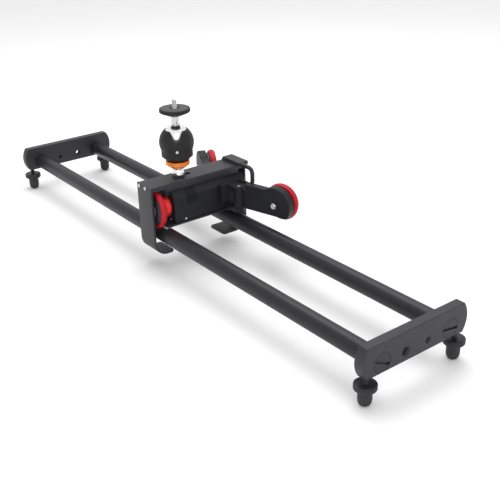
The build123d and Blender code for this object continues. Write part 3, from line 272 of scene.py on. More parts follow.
def outward(points, quads, fans):
    """Turns all faces round if the volume they enclose, the sum of a . (b x c) / 6, is negative."""
    corners = np.vstack([quads[:, [0, 1, 2]], quads[:, [0, 2, 3]], fans])
    a, b, c = (points[corners[:, k]] for k in range(3))
    if np.einsum("ij,ij->", a, np.cross(b, c)) < 0:
        quads, fans = quads[:, ::-1], fans[:, ::-1]
    return points, quads, fans


def spindle(profile, sides, ripple=None):
    """A turned solid whose profile starts and ends on its axis."""
    profile = np.asarray(profile, float)
    ends = [(0, 0, profile[0, 1]), (0, 0, profile[-1, 1])]
    return shell(lathe(profile[1:-1], sides, ripple), ends=ends)


def collar(profile, sides, ripple=None):
    """A turned solid with a bore, whose profile is a closed loop."""
    return shell(lathe(profile, sides, ripple), loop=True)


def stood(surface, origin, axis=(0, 0, 1), facing=None):
    """The surface moved to an origin, its Z turned to an axis and its X towards a facing."""
    points, quads, fans = surface
    up = Vector(axis).normalized()
    side = Vector(facing) if facing else up.orthogonal()
    side = (side - up * side.dot(up)).normalized()
    turn = np.array([side, up.cross(side), up])
    return points @ turn + np.asarray(origin, float), quads, fans


# ----------------------------------------------------------------------- pieces
def finish_mesh(mesh, slot, crease=35.0):
    mesh.materials.clear()
    mesh.materials.append(finish(slot))
    mesh.shade_smooth()
    mesh.set_sharp_from_angle(angle=radians(crease))


def piece(name, surfaces, slot, stands_for=(), body=None, crease=35.0):
    """One object from one or more closed surfaces, riding on its node's body."""
    points, faces, base = [], [], 0
    for spots, quads, fans in surfaces:
        points.append(spots)
        faces += (quads + base).tolist() + (fans + base).tolist()
        base += len(spots)
    mesh = bpy.data.meshes.new(name)
    mesh.from_pydata(np.vstack(points), [], faces)
    finish_mesh(mesh, slot, crease)
    return settled(name, mesh, stands_for, body)


def settled(name, mesh, stands_for, body):
    thing = bpy.data.objects.new(name, mesh)
    bpy.context.scene.collection.objects.link(thing)
    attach(thing, body or BODY_OF[stands_for[0]])
    if stands_for:
        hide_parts(*stands_for)
    return thing


def softened(node, slot, ease, crease=32.0, segments=2):
    """A machined part with its edges eased: the node's own mesh, merged into flat faces, with a
    Bevel over the edges sharper than the crease."""
    work = bmesh.new()
    work.from_mesh(frame["nodes"][node].data)
    bmesh.ops.remove_doubles(work, verts=work.verts, dist=1e-6)
    bmesh.ops.dissolve_limit(work, angle_limit=radians(0.5), verts=work.verts, edges=work.edges)
    bmesh.ops.recalc_face_normals(work, faces=work.faces)
    mesh = bpy.data.meshes.new(f"{node}_eased")
    work.to_mesh(mesh)
    work.free()
    for layer in [one.name for one in mesh.attributes if "normal" in one.name]:
        mesh.attributes.remove(mesh.attributes[layer])
    finish_mesh(mesh, slot, crease)
    thing = settled(f"{node}_eased", mesh, (node,), None)
    bevel = thing.modifiers.new("Eased edges", "BEVEL")
    bevel.width = ease
    bevel.segments = segments
    bevel.limit_method = "ANGLE"
    bevel.angle_limit = radians(crease)
    bevel.harden_normals = True
    bevel.use_clamp_overlap = True
    return thing


def dressed(slot, *nodes):
    """Gives a frame node whose shape is right its finish."""
    for node in nodes:
        mesh = frame["nodes"][node].data
        mesh.materials.clear()
        mesh.materials.append(finish(slot))


def middle(node):
    low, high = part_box(node)
    return (low + high) / 2


# --------------------------------------------------------------------- finishes
# Each finish: roughness, metallic, fine grain per metre, its relief in metres, the share by which
# broad clouds lighten and darken it, how the grain is stretched, and the strength of its mirror
# reflection where that isn't the usual half.
FINISHES = {
    "anodised_black": {"rough": 0.46, "metal": 0.1, "grain": 2400, "relief": 6e-6, "cloud": 0.10,
                       "gloss": 0.36},
    "tube_black": {"rough": 0.38, "metal": 0.1, "grain": 2000, "relief": 4e-6, "cloud": 0.08,
                   "stretch": (0.02, 1.0, 1.0), "gloss": 0.32},
    "steel": {"rough": 0.24, "metal": 1.0, "grain": 3000, "relief": 3e-6, "cloud": 0.08},
    "screw_black": {"rough": 0.40, "metal": 0.1, "grain": 2600, "relief": 5e-6, "cloud": 0.12,
                    "gloss": 0.32},
    "foot_rubber": {"rough": 0.62, "metal": 0.0, "grain": 1600, "relief": 2e-5, "cloud": 0.14,
                    "gloss": 0.38},
    "shell_black": {"rough": 0.46, "metal": 0.0, "grain": 1700, "relief": 1.6e-5, "cloud": 0.08,
                    "gloss": 0.18},
    "wheel_black": {"rough": 0.40, "metal": 0.0, "grain": 1800, "relief": 8e-6, "cloud": 0.10,
                    "gloss": 0.32},
    "tyre_red": {"rough": 0.50, "metal": 0.0, "grain": 1500, "relief": 1.4e-5, "cloud": 0.07,
                 "gloss": 0.28},
    "drum_red": {"rough": 0.34, "metal": 0.25, "grain": 2600, "relief": 4e-6, "cloud": 0.06},
    "disc_grey": {"rough": 0.34, "metal": 0.6, "grain": 2600, "relief": 4e-6, "cloud": 0.08},
    "ring_orange": {"rough": 0.30, "metal": 0.55, "grain": 2600, "relief": 4e-6, "cloud": 0.06},
    "head_black": {"rough": 0.50, "metal": 0.05, "grain": 1900, "relief": 2.2e-5, "cloud": 0.10,
                   "gloss": 0.26},
    "ball_silver": {"rough": 0.16, "metal": 1.0, "grain": 3200, "relief": 2e-6, "cloud": 0.04},
    "pad_rubber": {"rough": 0.66, "metal": 0.0, "grain": 1500, "relief": 2e-5, "cloud": 0.12},
    "glide_plastic": {"rough": 0.40, "metal": 0.0, "grain": 1500, "relief": 1e-5, "cloud": 0.06},
    "washer_black": {"rough": 0.55, "metal": 0.0, "grain": 1500, "relief": 1.5e-5, "cloud": 0.08},
    "board_green": {"rough": 0.45, "metal": 0.0, "grain": 900, "relief": 1e-5, "cloud": 0.20},
    "cell_wrap": {"rough": 0.35, "metal": 0.0, "grain": 1200, "relief": 5e-6, "cloud": 0.06},
    "gear_white": {"rough": 0.42, "metal": 0.0, "grain": 1400, "relief": 8e-6, "cloud": 0.05},
}
CLOUDS_PER_METRE = 45.0
ROUGH_SPREAD = 0.07


def noise(tree, vector, scale, detail):
    node = tree.nodes.new("ShaderNodeTexNoise")
    node.inputs["Scale"].default_value = scale
    node.inputs["Detail"].default_value = detail
    tree.links.new(vector, node.inputs["Vector"])
    return node.outputs["Fac"]


def finish(slot):
    """The material of a finish, made once: clouded colour, and fine grain in gloss and relief."""
    name = f"{slot}_finish"
    ready = bpy.data.materials.get(name)
    if ready:
        return ready
    recipe = FINISHES[slot]
    colour = np.array(getattr(bpy.context.scene.slider_colours, slot))
    material = bpy.data.materials.new(name)
    material.use_nodes = True
    tree = material.node_tree
    shader = tree.nodes["Principled BSDF"]
    shader.inputs["Metallic"].default_value = recipe["metal"]
    shader.inputs["Specular IOR Level"].default_value = recipe.get("gloss", 0.5)
    place = tree.nodes.new("ShaderNodeTexCoord")
    mapping = tree.nodes.new("ShaderNodeMapping")
    mapping.inputs["Scale"].default_value = recipe.get("stretch", (1.0, 1.0, 1.0))
    tree.links.new(place.outputs["Object"], mapping.inputs["Vector"])
    ramp = tree.nodes.new("ShaderNodeValToRGB")
    ramp.color_ramp.elements[0].position = 0.3
    ramp.color_ramp.elements[1].position = 0.7
    ramp.color_ramp.elements[0].color = (*(colour * (1 - recipe["cloud"])), 1.0)
    ramp.color_ramp.elements[1].color = (*np.minimum(colour * (1 + recipe["cloud"]), 1.0), 1.0)
    tree.links.new(noise(tree, place.outputs["Object"], CLOUDS_PER_METRE, 3.0), ramp.inputs["Fac"])
    tree.links.new(ramp.outputs["Color"], shader.inputs["Base Color"])
    grain = noise(tree, mapping.outputs["Vector"], recipe["grain"], 2.0)
    gloss = tree.nodes.new("ShaderNodeMapRange")
    gloss.inputs["To Min"].default_value = recipe["rough"] - ROUGH_SPREAD
    gloss.inputs["To Max"].default_value = recipe["rough"] + ROUGH_SPREAD
    tree.links.new(grain, gloss.inputs["Value"])
    tree.links.new(gloss.outputs["Result"], shader.inputs["Roughness"])
    bump = tree.nodes.new("ShaderNodeBump")
    bump.inputs["Distance"].default_value = recipe["relief"]
    tree.links.new(grain, bump.inputs["Height"])
    tree.links.new(bump.outputs["Normal"], shader.inputs["Normal"])
    return material


# -------------------------------------------------------------------- operators
class SliderOperator(bpy.types.Operator):
    """The common part of the builders: sizes and counts at hand."""

    bl_options = {"REGISTER", "UNDO"}

    def execute(self, context):
        self.build(context.scene.slider_sizes, context.scene.slider_counts)
        return {"FINISHED"}


class SLIDER_OT_stage(bpy.types.Operator):
    """Floor, soft lights and the camera"""

    bl_idname = "slider.stage"
    bl_label = "Stage"

    def execute(self, context):
        stage = context.scene.slider_stage
        self.lay_floor(stage)
        self.hang_lights(context.scene, stage)
        self.place_camera(context.scene, stage)
        return {"FINISHED"}

    def lay_floor(self, stage):
        half = stage.floor_size / 2
        mesh = bpy.data.meshes.new("floor")
        mesh.from_pydata([(-half, -half, 0), (half, -half, 0), (half, half, 0), (-half, half, 0)],
                         [], [(0, 1, 2, 3)])
        floor = bpy.data.objects.new("floor", mesh)
        bpy.context.scene.collection.objects.link(floor)
        material = bpy.data.materials.new("floor")
        material.use_nodes = True
        shader = material.node_tree.nodes["Principled BSDF"]
        shader.inputs["Base Color"].default_value = (*stage.floor_colour, 1.0)
        shader.inputs["Roughness"].default_value = 0.9
        shader.inputs["Specular IOR Level"].default_value = 0.1
        mesh.materials.append(material)

    def hang_lights(self, scene, stage):
        world = bpy.data.worlds.new("sky")
        world.use_nodes = True
        world.node_tree.nodes["Background"].inputs["Color"].default_value = (1.0, 1.0, 1.0, 1.0)
        world.node_tree.nodes["Background"].inputs["Strength"].default_value = stage.sky
        scene.world = world
        lamps = {
            "key": ((-0.3, 0.35, 1.5), 1.2, stage.key_power),
            "fill": ((1.5, -0.8, 0.9), 1.0, stage.fill_power),
        }
        for name, (place, size, power) in lamps.items():
            light = bpy.data.lights.new(name, "AREA")
            light.size = size
            light.energy = power
            lamp = bpy.data.objects.new(name, light)
            lamp.location = place
            lamp.rotation_mode = "QUATERNION"
            aim = Vector(stage.target) - lamp.location
            lamp.rotation_quaternion = aim.to_track_quat("-Z", "Y")
            scene.collection.objects.link(lamp)

    def place_camera(self, scene, stage):
        eye = bpy.data.cameras.new("camera")
        eye.lens = stage.lens
        camera = bpy.data.objects.new("camera", eye)
        back = Vector((sin(stage.azimuth) * cos(stage.elevation),
                       -cos(stage.azimuth) * cos(stage.elevation), sin(stage.elevation)))
        camera.location = Vector(stage.target) + back * stage.distance
        camera.rotation_mode = "QUATERNION"
        camera.rotation_quaternion = (-back).to_track_quat("-Z", "Y") @ Quaternion(
            (0, 0, 1), stage.roll)
        scene.collection.objects.link(camera)
        scene.camera = camera
        scene.view_settings.view_transform = "Standard"


class SLIDER_OT_tubes(SliderOperator):
    """The two hollow tubes and the plugs in their ends"""

    bl_idname = "slider.tubes"
    bl_label = "Tubes"

    def build(self, sizes, counts):
        for node in ("rod_front", "rod_back"):
            low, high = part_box(node)
            outer, half = (high.z - low.z) / 2, (high.x - low.x) / 2
            inner = outer - sizes.tube_wall
            profile = eased([(inner, -half), (outer, -half), (outer, half), (inner, half)],
                            sizes.edge_ease, closed=True)
            tube = stood(collar(profile, counts.sides), middle(node), (1, 0, 0))
            piece(f"{node}_tube", [tube], "tube_black", (node,))
        dressed("steel", "rod_inserts")


class SLIDER_OT_end_plates(SliderOperator):
    """The end plates, their slotted screws and the threads in their holes"""

    bl_idname = "slider.end_plates"
    bl_label = "End Plates"

    def build(self, sizes, counts):
        softened("end_plate_near", "anodised_black", sizes.edge_ease)
        softened("end_plate_far", "anodised_black", sizes.edge_ease)
        softened("end_screws", "screw_black", sizes.edge_ease)
        for kind, pitch in (("large", sizes.large_pitch), ("small", sizes.small_pitch)):
            linings = [self.thread(f"{end}_{kind}_thread", pitch, counts.sides)
                       for end in ("near", "far")]
            piece(f"{kind}_threads", linings, "screw_black", body="rails", crease=50)

    def thread(self, name, pitch, sides):
        """A thin sleeve against the hole's wall whose inner side carries the thread."""
        mount = MOUNTS[name]
        outer = mount["dims"]["r_mm"] * MM
        depth = 0.6 * pitch
        long = mount["dims"]["length_mm"] * MM / 2 - 0.1 * MM
        rows = np.arange(-long, long, pitch / 8)
        inner = np.stack([np.full_like(rows, outer), rows], axis=1)
        profile = np.vstack([inner, [(outer, long), (outer + 0.2 * MM, long),
                                     (outer + 0.2 * MM, -long), (outer, -long)]])
        ridge = helix(pitch, depth, -long, long)
        sleeve = collar(profile, sides // 2, beyond(outer, lambda *place: 0, ridge))
        return stood(sleeve, mount["pos_m"], mount["axis"])


class SLIDER_OT_feet(SliderOperator):
    """The four screw feet: grooved ring, threaded neck and rubber tip"""

    bl_idname = "slider.feet"
    bl_label = "Feet"

    def build(self, sizes, counts):
        for corner in ("near_front", "near_back", "far_front", "far_back"):
            self.stud(f"foot_stud_{corner}", f"foot_tip_{corner}", sizes, counts)
            self.tip(f"foot_tip_{corner}", sizes, counts)

    def stud(self, node, tip, sizes, counts):
        low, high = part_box(node)
        ring_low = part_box(tip)[1].z
        ring_high = ring_low + sizes.ring_height
        neck_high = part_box("end_plate_near")[0].z
        edge = (high.x - low.x) / 2
        bar = sizes.stud_radius
        body = eased([(0, low.z), (bar, low.z), (bar, ring_low), (edge - 2.5 * MM, ring_low),
                      (edge, ring_low + 2.0 * MM), (edge, ring_high - 2.6 * MM),
                      (edge - 0.5 * MM, ring_high - 2.3 * MM),
                      (edge - 0.5 * MM, ring_high - 1.9 * MM),
                      (edge, ring_high - 1.6 * MM), (edge, ring_high - 0.8 * MM),
                      (edge - 1.0 * MM, ring_high), (bar, ring_high)], 0.4 * MM, 3)
        rows = np.arange(ring_high, neck_high, sizes.stud_pitch / 8)
        neck = np.stack([np.full_like(rows, bar), rows], axis=1)
        profile = np.vstack([body, neck, [(bar, neck_high), (bar, high.z), (0, high.z)]])
        grip = flutes(counts.foot_grips, sizes.grip_depth, ring_low, ring_high - 2.6 * MM, 5)
        thread = helix(sizes.stud_pitch, 0.45 * sizes.stud_pitch, ring_high, neck_high)
        cut = beyond(2 * bar, grip, thread)
        place = middle(node)
        surface = stood(spindle(profile, 2 * counts.sides, cut), (place.x, place.y, 0),
                        facing=(1, 0, 0))
        piece(f"{node}_threaded", [surface], "screw_black", (node,), crease=40)

    def tip(self, node, sizes, counts):
        low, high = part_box(node)
        edge = (high.x - low.x) / 2
        socket = sizes.stud_radius
        floor = high.z - 8.0 * MM
        round_end = [(0, 0), (0.52 * edge, 0), (0.83 * edge, 2.2 * MM), (0.96 * edge, 5.0 * MM),
                     (edge, 8.5 * MM)]
        waist = [(edge, 13.0 * MM), (edge - 0.25 * MM, 13.3 * MM), (edge - 0.25 * MM, 13.9 * MM),
                 (edge, 14.2 * MM), (edge, high.z - 0.4 * MM), (edge - 0.4 * MM, high.z)]
        inside = [(socket, high.z), (socket, floor), (0, floor)]
        profile = eased(round_end + waist + inside, 1.2 * MM, 5)
        place = middle(node)
        piece(f"{node}_moulded", [stood(spindle(profile, counts.sides), (place.x, place.y, low.z))],
              "foot_rubber", (node,))


class SLIDER_OT_hooks(SliderOperator):
    """The two hooks under the tubes with their screws, the bar over them and the guard loop"""

    bl_idname = "slider.hooks"
    bl_label = "Hooks"

    def build(self, sizes, counts):
        self.hook("near_hook", -1, sizes)
        self.hook("far_hook", 1, sizes)
        softened("hook_screws", "steel", 0.12 * MM)
        softened("clamp_block", "anodised_black", sizes.edge_ease)
        self.loop(sizes)

    def hook(self, node, side, sizes):
        """A strip's rounded section carried down, round the bend and out to the tip, where its
        half width follows the corner circle: w - r + sqrt(r^2 - (s - L + r)^2)."""
        low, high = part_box(node)
        half, thick = (high.x - low.x) / 2, sizes.hook_thickness
        outer, tip = (low.y, high.y) if side < 0 else (high.y, low.y)
        radius = sizes.hook_bend - thick / 2
        wall, foot = outer - side * thick / 2, low.z + thick / 2
        turn = np.linspace(0, pi / 2, 25)
        centre_y, centre_z = wall - side * radius, foot + radius
        bend = np.stack([centre_y + side * radius * np.cos(turn),
                         centre_z - radius * np.sin(turn)], axis=1)
        along = np.abs(tip - centre_y) * np.concatenate([[0.3], 1 - 0.28 * np.cos(
            np.linspace(0, pi / 2, 14))])
        lip = np.stack([centre_y - side * along, np.full_like(along, foot)], 1)
        flat = np.vstack([[(wall, high.z), (wall, high.z - 0.3 * MM)], bend, lip])
        path = np.column_stack([np.full(len(flat), (low.x + high.x) / 2), flat])
        rim = sizes.hook_tip
        inset = np.clip(along[-1] - along, 0, rim)
        narrow = rim - np.sqrt(np.maximum(rim ** 2 - (rim - inset) ** 2, 0))
        width = np.full(len(flat), half)
        width[-len(along):] -= narrow
        corner = eased([(-half, -thick / 2), (half, -thick / 2), (half, thick / 2),
                        (-half, thick / 2)], 0.25 * thick, 5, closed=True)
        section = np.repeat(corner[None], len(flat), axis=0)
        section[..., 0] += np.sign(section[..., 0]) * (width - half)[:, None]
        piece(f"{node}_bent", [shell(carried(section, path, (1, 0, 0)))], "anodised_black", (node,))

    def loop(self, sizes):
        """A square bar's eased section carried round the loop's eased corners."""
        low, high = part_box("guard_loop")
        bar = sizes.loop_bar / 2
        y = (low.y + high.y) / 2
        start, finish_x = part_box("clamp_block")[1].x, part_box("front_cover")[1].x
        corners = [(start, high.z - bar), (high.x - bar, high.z - bar), (high.x - bar, low.z + bar),
                   (finish_x, low.z + bar)]
        run = eased(corners, sizes.loop_bend, 12)
        path = np.column_stack([run[:, 0], np.full(len(run), y), run[:, 1]])
        square = eased([(-bar, -bar), (bar, -bar), (bar, bar), (-bar, bar)], 0.8 * bar, 6,
                       closed=True)
        section = np.repeat(square[None], len(path), axis=0)
        piece("guard_loop_bent", [shell(carried(section, path, (0, 1, 0)))], "anodised_black",
              ("guard_loop",))


class SLIDER_OT_dolly(SliderOperator):
    """The top plate, the moulded covers under it and what they hold"""

    bl_idname = "slider.dolly"
    bl_label = "Dolly"

    def build(self, sizes, counts):
        softened("top_plate", "anodised_black", sizes.edge_ease)
        softened("dolly_rail", "anodised_black", 0.25 * MM)
        softened("lower_plate", "anodised_black", 0.25 * MM)
        softened("front_cover", "shell_black", 0.3 * MM)
        softened("rear_cover", "shell_black", 0.3 * MM)
        softened("cover_screws", "steel", 0.1 * MM)
        softened("power_switch", "wheel_black", 0.3 * MM)
        softened("speed_button", "wheel_black", 0.3 * MM)
        dressed("glide_plastic", "glide_pads")
        dressed("anodised_black", "gear_plate")
        dressed("steel", "gear_motor", "shaft_bearings")
        dressed("cell_wrap", "battery")
        dressed("board_green", "circuit_board")
        dressed("gear_white", "drive_gear", "motor_pinion")


class SLIDER_OT_drive_wheel(SliderOperator):
    """The driven wheel: red tyre, black hub, grey disc and red drum"""

    bl_idname = "slider.drive_wheel"
    bl_label = "Drive Wheel"

    def build(self, sizes, counts):
        self.tyre(sizes, counts)
        self.hub(sizes, counts)
        self.disc(counts)
        self.drum(counts)
        dressed("steel", "drive_shaft")

    def tyre(self, sizes, counts):
        low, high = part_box("drive_tyre")
        edge, half = (high.x - low.x) / 2, (high.y - low.y) / 2
        ring = collar(tread(edge, half, sizes.tyre_depth, sizes.tyre_crown), counts.sides)
        piece("drive_tyre_moulded", [stood(ring, middle("drive_tyre"), (0, -1, 0))], "tyre_red",
              ("drive_tyre",))

    def hub(self, sizes, counts):
        low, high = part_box("drive_hub")
        seat, half = (high.x - low.x) / 2, (high.y - low.y) / 2
        dish = (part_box("hub_disc")[1].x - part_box("hub_disc")[0].x) / 2 + 0.2 * MM
        bore = (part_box("drive_shaft")[1].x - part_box("drive_shaft")[0].x) / 2
        floor = half - 1.0 * MM
        step = half - 2.0 * MM
        drum_low, drum_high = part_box("drive_drum")
        neck = (drum_high.x - drum_low.x) / 2 - 2.0 * MM
        back = drum_low.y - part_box("drive_tyre")[1].y - half
        profile = eased([(bore, -half), (neck, -half), (neck, back), (seat, back), (seat, step),
                         (seat - 1.2 * MM, step + 0.7 * MM),
                         (seat - 1.5 * MM, step + 0.5 * MM), (seat - 1.8 * MM, step + 1.0 * MM),
                         (seat - 3.5 * MM, half), (dish, half), (dish, floor), (bore, floor)],
                        0.3 * MM, 4, closed=True)
        hub = stood(collar(profile, counts.sides), middle("drive_hub"), (0, -1, 0))
        piece("drive_hub_turned", [hub], "wheel_black", ("drive_hub",))

    def disc(self, counts):
        """A flat disc whose face carries the fine rings that a lathe leaves."""
        low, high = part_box("hub_disc")
        edge, half = (high.x - low.x) / 2, (high.y - low.y) / 2
        rings = np.arange(edge - 1.4 * MM, 0.6 * MM, -0.12 * MM)
        wave = 0.5 + 0.5 * np.cos(rings / (0.6 * MM) * 2 * pi)
        face = np.stack([rings, half - 0.03 * MM * wave], axis=1)
        rim = eased([(0, -half), (edge, -half), (edge, half - 0.6 * MM), (edge - 1.0 * MM, half),
                     (edge - 1.3 * MM, half)], 0.2 * MM, 3)
        profile = np.vstack([rim, face, [(0, half)]])
        disc = stood(spindle(profile, counts.sides), middle("hub_disc"), (0, -1, 0))
        piece("hub_disc_turned", [disc], "disc_grey", ("hub_disc",), crease=60)

    def drum(self, counts):
        low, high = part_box("drive_drum")
        edge, half = (high.x - low.x) / 2, (high.y - low.y) / 2
        bore = (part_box("drive_shaft")[1].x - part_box("drive_shaft")[0].x) / 2
        groove = half - 3.2 * MM
        profile = eased([(bore, -half), (edge - 0.8 * MM, -half), (edge, -half + 0.8 * MM),
                         (edge, groove - 1.2 * MM), (edge - 1.0 * MM, groove - 1.1 * MM),
                         (edge - 1.0 * MM, groove - 0.1 * MM), (edge, groove),
                         (edge, half - 0.8 * MM), (edge - 0.8 * MM, half), (bore, half)],
                        0.25 * MM, 4, closed=True)
        piece("drive_drum_turned", [stood(collar(profile, counts.sides), middle("drive_drum"),
                                          (0, -1, 0))], "drum_red", ("drive_drum",))


def tread(edge, half, depth, crown):
    """A tyre's closed section: bore, side walls and a crowned tread r = edge - crown (h/half)^2
    with a shallow groove beside each shoulder."""
    h = np.linspace(half, -half, 41)
    radius = edge - crown * (h / half) ** 2
    radius -= 0.22 * MM * np.exp(-((np.abs(h) - 0.62 * half) / (0.09 * half)) ** 2)
    inner = edge - depth
    walls = eased([(inner, -half), (inner, half), (radius[0], half)], 0.3 * MM, 4)
    return np.vstack([walls[:-1], np.stack([radius, h], axis=1)])


class SLIDER_OT_arms(SliderOperator):
    """The folding arms, their brackets, hinge pins and shoulder screws"""

    bl_idname = "slider.arms"
    bl_label = "Arms"

    def build(self, sizes, counts):
        for end in ("front", "rear"):
            softened(f"arm_{end}", "shell_black", 0.5 * MM)
            softened(f"hinge_bracket_{end}", "shell_black", 0.4 * MM)
            softened(f"axle_{end}", "steel", 0.15 * MM)
        softened("hinge_pins", "steel", 0.4 * MM)


class SLIDER_OT_guide_wheels(SliderOperator):
    """The red-tyred wheels on the arms"""

    bl_idname = "slider.guide_wheels"
    bl_label = "Guide Wheels"

    def build(self, sizes, counts):
        for end in ("front", "rear"):
            joint = JOINTS[f"{end}_wheel_spin"]
            tyre, hub = f"wheel_tyre_{end}", f"wheel_hub_{end}"
            edge = (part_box(tyre)[1].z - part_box(tyre)[0].z) / 2
            section = tread(edge, sizes.guide_tyre_width / 2, sizes.tyre_depth, sizes.tyre_crown)
            ring = collar(section, counts.sides)
            piece(f"{tyre}_moulded", [stood(ring, middle(tyre), joint["axis"])], "tyre_red",
                  (tyre,))
            bore = sizes.axle_radius + sizes.running_fit
            section = self.dished(bore, edge - sizes.tyre_depth, sizes.guide_hub_width / 2)
            wheel = collar(section, counts.sides)
            piece(f"{hub}_turned", [stood(wheel, middle(hub), joint["axis"])], "wheel_black",
                  (hub,))

    def dished(self, bore, seat, half):
        """A hub's closed section: a boss round the bore, a dished web and a rim, the same on
        both faces."""
        web = half - 2.0 * MM
        side = [(7.0 * MM, half), (8.5 * MM, web), (12.0 * MM, web), (12.4 * MM, web + 0.4 * MM),
                (13.0 * MM, web + 0.4 * MM), (13.4 * MM, web), (seat - 4.0 * MM, web),
                (seat - 2.5 * MM, half), (seat, half)]
        mirrored = [(r, -h) for r, h in side[::-1]]
        return eased([(bore, half)] + side + mirrored + [(bore, -half)], 0.35 * MM, 4, closed=True)


class SLIDER_OT_head_base(SliderOperator):
    """The washer, the bright collar and the orange lock ring"""

    bl_idname = "slider.head_base"
    bl_label = "Head Base"

    def build(self, sizes, counts):
        softened("head_base", "ball_silver", 0.15 * MM, crease=38)
        low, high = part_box("head_washer")
        edge, half = (high.x - low.x) / 2, (high.z - low.z) / 2
        loop = eased([(WASHER_BORE, -half), (edge, -half), (edge, half), (WASHER_BORE, half)],
                     0.5 * MM, 5, closed=True)
        piece("head_washer_turned", [stood(collar(loop, counts.sides), middle("head_washer"))],
              "washer_black", ("head_washer",))
        self.ring(sizes, counts)

    def ring(self, sizes, counts):
        """The cone, the knurled band, the groove and the plain lip of the lock ring."""
        low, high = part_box("head_lock_ring")
        edge, base, top = (high.x - low.x) / 2, low.z, high.z
        bore = sizes.spigot_radius + sizes.running_fit
        corners = eased([(bore, base), (RING_FOOT, base), (edge - 0.3 * MM, base + 4.8 * MM),
                         (edge, base + 5.2 * MM), (edge, base + 7.4 * MM),
                         (edge - 0.7 * MM, base + 7.8 * MM), (edge - 0.7 * MM, base + 8.4 * MM),
                         (edge, base + 8.8 * MM), (edge, top - 0.3 * MM), (edge - 0.3 * MM, top),
                         (bore, top)], 0.2 * MM, 3, closed=True)
        knurl = flutes(counts.knurls, sizes.knurl_depth, base + 5.2 * MM, base + 7.4 * MM, 1)
        place = middle("head_lock_ring")
        profile = refined(corners, 0.45 * MM)
        ring = collar(profile, 4 * counts.knurls, beyond(KNURL_INNER, knurl))
        piece("head_lock_ring_knurled", [stood(ring, (place.x, place.y, 0))], "ring_orange",
              ("head_lock_ring",), crease=50)


class SLIDER_OT_ball(SliderOperator):
    """The ball cup with its set screw, and the bright ball with its steel stem"""

    bl_idname = "slider.ball"
    bl_label = "Ball"

    def build(self, sizes, counts):
        softened("head_housing", "head_black", 0.5 * MM, crease=38)
        softened("head_set_screw", "steel", 0.12 * MM)
        low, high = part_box("head_ball")
        radius = (high.x - low.x) / 2
        centre = low.z + radius
        stem = sizes.stem_radius
        meet = np.sqrt(radius ** 2 - stem ** 2)
        turn = np.linspace(-pi / 2, np.arcsin(meet / radius), 60)
        ball = np.stack([radius * np.cos(turn), centre + radius * np.sin(turn)], axis=1)
        ball[0, 0] = 0.0
        ball = np.vstack([ball, [(0, centre + meet)]])
        neck = sizes.screw_neck
        stalk = eased([(0, centre + meet), (stem, centre + meet), (stem, centre + meet + 0.8 * MM),
                       (stem - 0.25 * MM, centre + meet + 1.0 * MM),
                       (stem - 0.25 * MM, centre + meet + 1.5 * MM),
                       (stem, centre + meet + 1.7 * MM),
                       (stem, high.z - 0.4 * MM), (stem - 0.4 * MM, high.z), (neck, high.z),
                       (neck, high.z - 8.0 * MM), (0, high.z - 8.0 * MM)], 0.15 * MM, 3)
        place = middle("head_ball")
        foot = (place.x, place.y, 0)
        piece("head_ball_turned", [stood(spindle(ball, counts.sides), foot)], "ball_silver",
              ("head_ball",))
        piece("head_stem_turned", [stood(spindle(stalk, counts.sides), foot)], "steel",
              ("head_ball",))


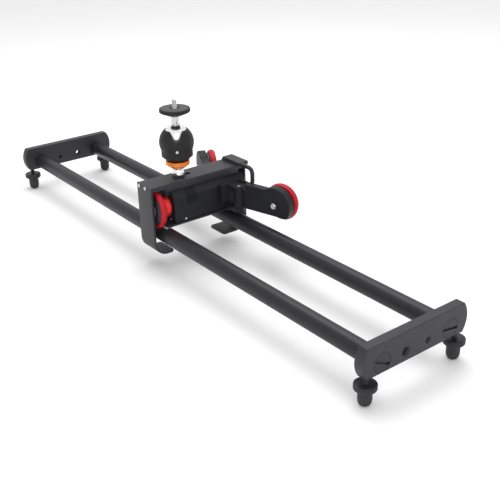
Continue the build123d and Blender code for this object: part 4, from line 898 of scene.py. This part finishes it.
class SLIDER_OT_platform(SliderOperator):
    """The camera platform, its ringed pad and the camera screw"""

    bl_idname = "slider.platform"
    bl_label = "Platform"

    def build(self, sizes, counts):
        self.table(sizes, counts)
        self.pad(sizes, counts)
        self.screw(sizes, counts)

    def table(self, sizes, counts):
        low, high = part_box("head_platform")
        edge, top = (high.x - low.x) / 2, high.z
        bore, rim = sizes.screw_neck + sizes.running_fit, high.z - 5.0 * MM
        recess = high.z - 0.6 * MM
        corners = eased([(bore, low.z), (PLATFORM_FOOT, low.z), (edge - 0.8 * MM, rim),
                         (edge, rim + 0.8 * MM),
                         (edge, top - 0.8 * MM), (edge - 0.8 * MM, top), (edge - 2.2 * MM, top),
                         (edge - 2.2 * MM, recess), (bore, recess)], 0.3 * MM, 4, closed=True)
        ridges = flutes(counts.rim_ridges, 0.35 * MM, rim + 0.6 * MM, top - 0.6 * MM, 2)
        cut = beyond(edge - 0.5 * MM, ridges)
        place = middle("head_platform")
        solid = collar(refined(corners, 0.5 * MM), 4 * counts.rim_ridges, cut)
        piece("head_platform_ridged", [stood(solid, (place.x, place.y, 0))], "head_black",
              ("head_platform",), crease=50)

    def pad(self, sizes, counts):
        """A flat rubber ring whose top waves as a cosine of the radius over the ring pitch."""
        low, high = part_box("platform_pad")
        outer, inner = (high.x - low.x) / 2, PAD_BORE
        radius = np.arange(outer - 0.3 * MM, inner + 0.3 * MM, -sizes.pad_step / 10)
        wave = high.z - 0.28 * MM * (0.5 + 0.5 * np.cos(radius / sizes.pad_step * 2 * pi)) ** 2
        top = np.stack([radius, wave], axis=1)
        profile = np.vstack([[(inner, low.z), (outer, low.z), (outer, high.z - 0.3 * MM)], top,
                             [(inner, high.z - 0.3 * MM)]])
        place = middle("platform_pad")
        piece("platform_pad_ringed", [stood(collar(profile, counts.sides), (place.x, place.y, 0))],
              "pad_rubber", ("platform_pad",), crease=60)

    def screw(self, sizes, counts):
        low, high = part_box("camera_screw")
        edge = (high.x - low.x) / 2
        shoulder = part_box("head_platform")[1].z - 0.3 * MM
        neck = sizes.screw_neck
        rows = np.arange(shoulder, high.z - 0.8 * MM, sizes.small_pitch / 10)
        thread = np.stack([np.full_like(rows, edge), rows], axis=1)
        profile = np.vstack([[(0, low.z), (neck, low.z), (neck, shoulder)], thread,
                             [(edge - 0.1 * MM, high.z - 0.8 * MM), (edge - 0.9 * MM, high.z),
                              (0, high.z)]])
        groove = helix(sizes.small_pitch, 0.5 * sizes.small_pitch, shoulder, high.z - 0.4 * MM)
        place = middle("camera_screw")
        solid = spindle(profile, counts.sides // 2, groove)
        piece("camera_screw_threaded", [stood(solid, (place.x, place.y, 0))], "steel",
              ("camera_screw",), crease=50)


class SLIDER_PT_panel(bpy.types.Panel):
    """Sizes, colours and builders in the sidebar"""

    bl_idname = "SLIDER_PT_panel"
    bl_label = "Camera Slider"
    bl_space_type = "VIEW_3D"
    bl_region_type = "UI"
    bl_category = "Slider"

    def draw(self, context):
        for name in ("slider_sizes", "slider_counts", "slider_colours", "slider_stage"):
            group = getattr(context.scene, name)
            column = self.layout.column(align=True)
            for key in group.__annotations__:
                column.prop(group, key)
        for builder in BUILDERS:
            self.layout.operator(builder.bl_idname)


BUILDERS = (SLIDER_OT_stage, SLIDER_OT_tubes, SLIDER_OT_end_plates, SLIDER_OT_feet, SLIDER_OT_hooks,
            SLIDER_OT_dolly, SLIDER_OT_drive_wheel, SLIDER_OT_arms, SLIDER_OT_guide_wheels,
            SLIDER_OT_head_base, SLIDER_OT_ball, SLIDER_OT_platform)
GROUPS = {"slider_sizes": SliderSizes, "slider_counts": SliderCounts,
          "slider_colours": SliderColours, "slider_stage": StageSettings}


def register():
    for group in GROUPS.values():
        bpy.utils.register_class(group)
    for name, group in GROUPS.items():
        setattr(bpy.types.Scene, name, PointerProperty(type=group))
    for thing in (*BUILDERS, SLIDER_PT_panel):
        bpy.utils.register_class(thing)


def unregister():
    for thing in (SLIDER_PT_panel, *reversed(BUILDERS)):
        bpy.utils.unregister_class(thing)
    for name, group in GROUPS.items():
        delattr(bpy.types.Scene, name)
        bpy.utils.unregister_class(group)


def main():
    register()
    for builder in BUILDERS:
        family, name = builder.bl_idname.split(".")
        getattr(getattr(bpy.ops, family), name)()


if __name__ == "__main__":
    main()
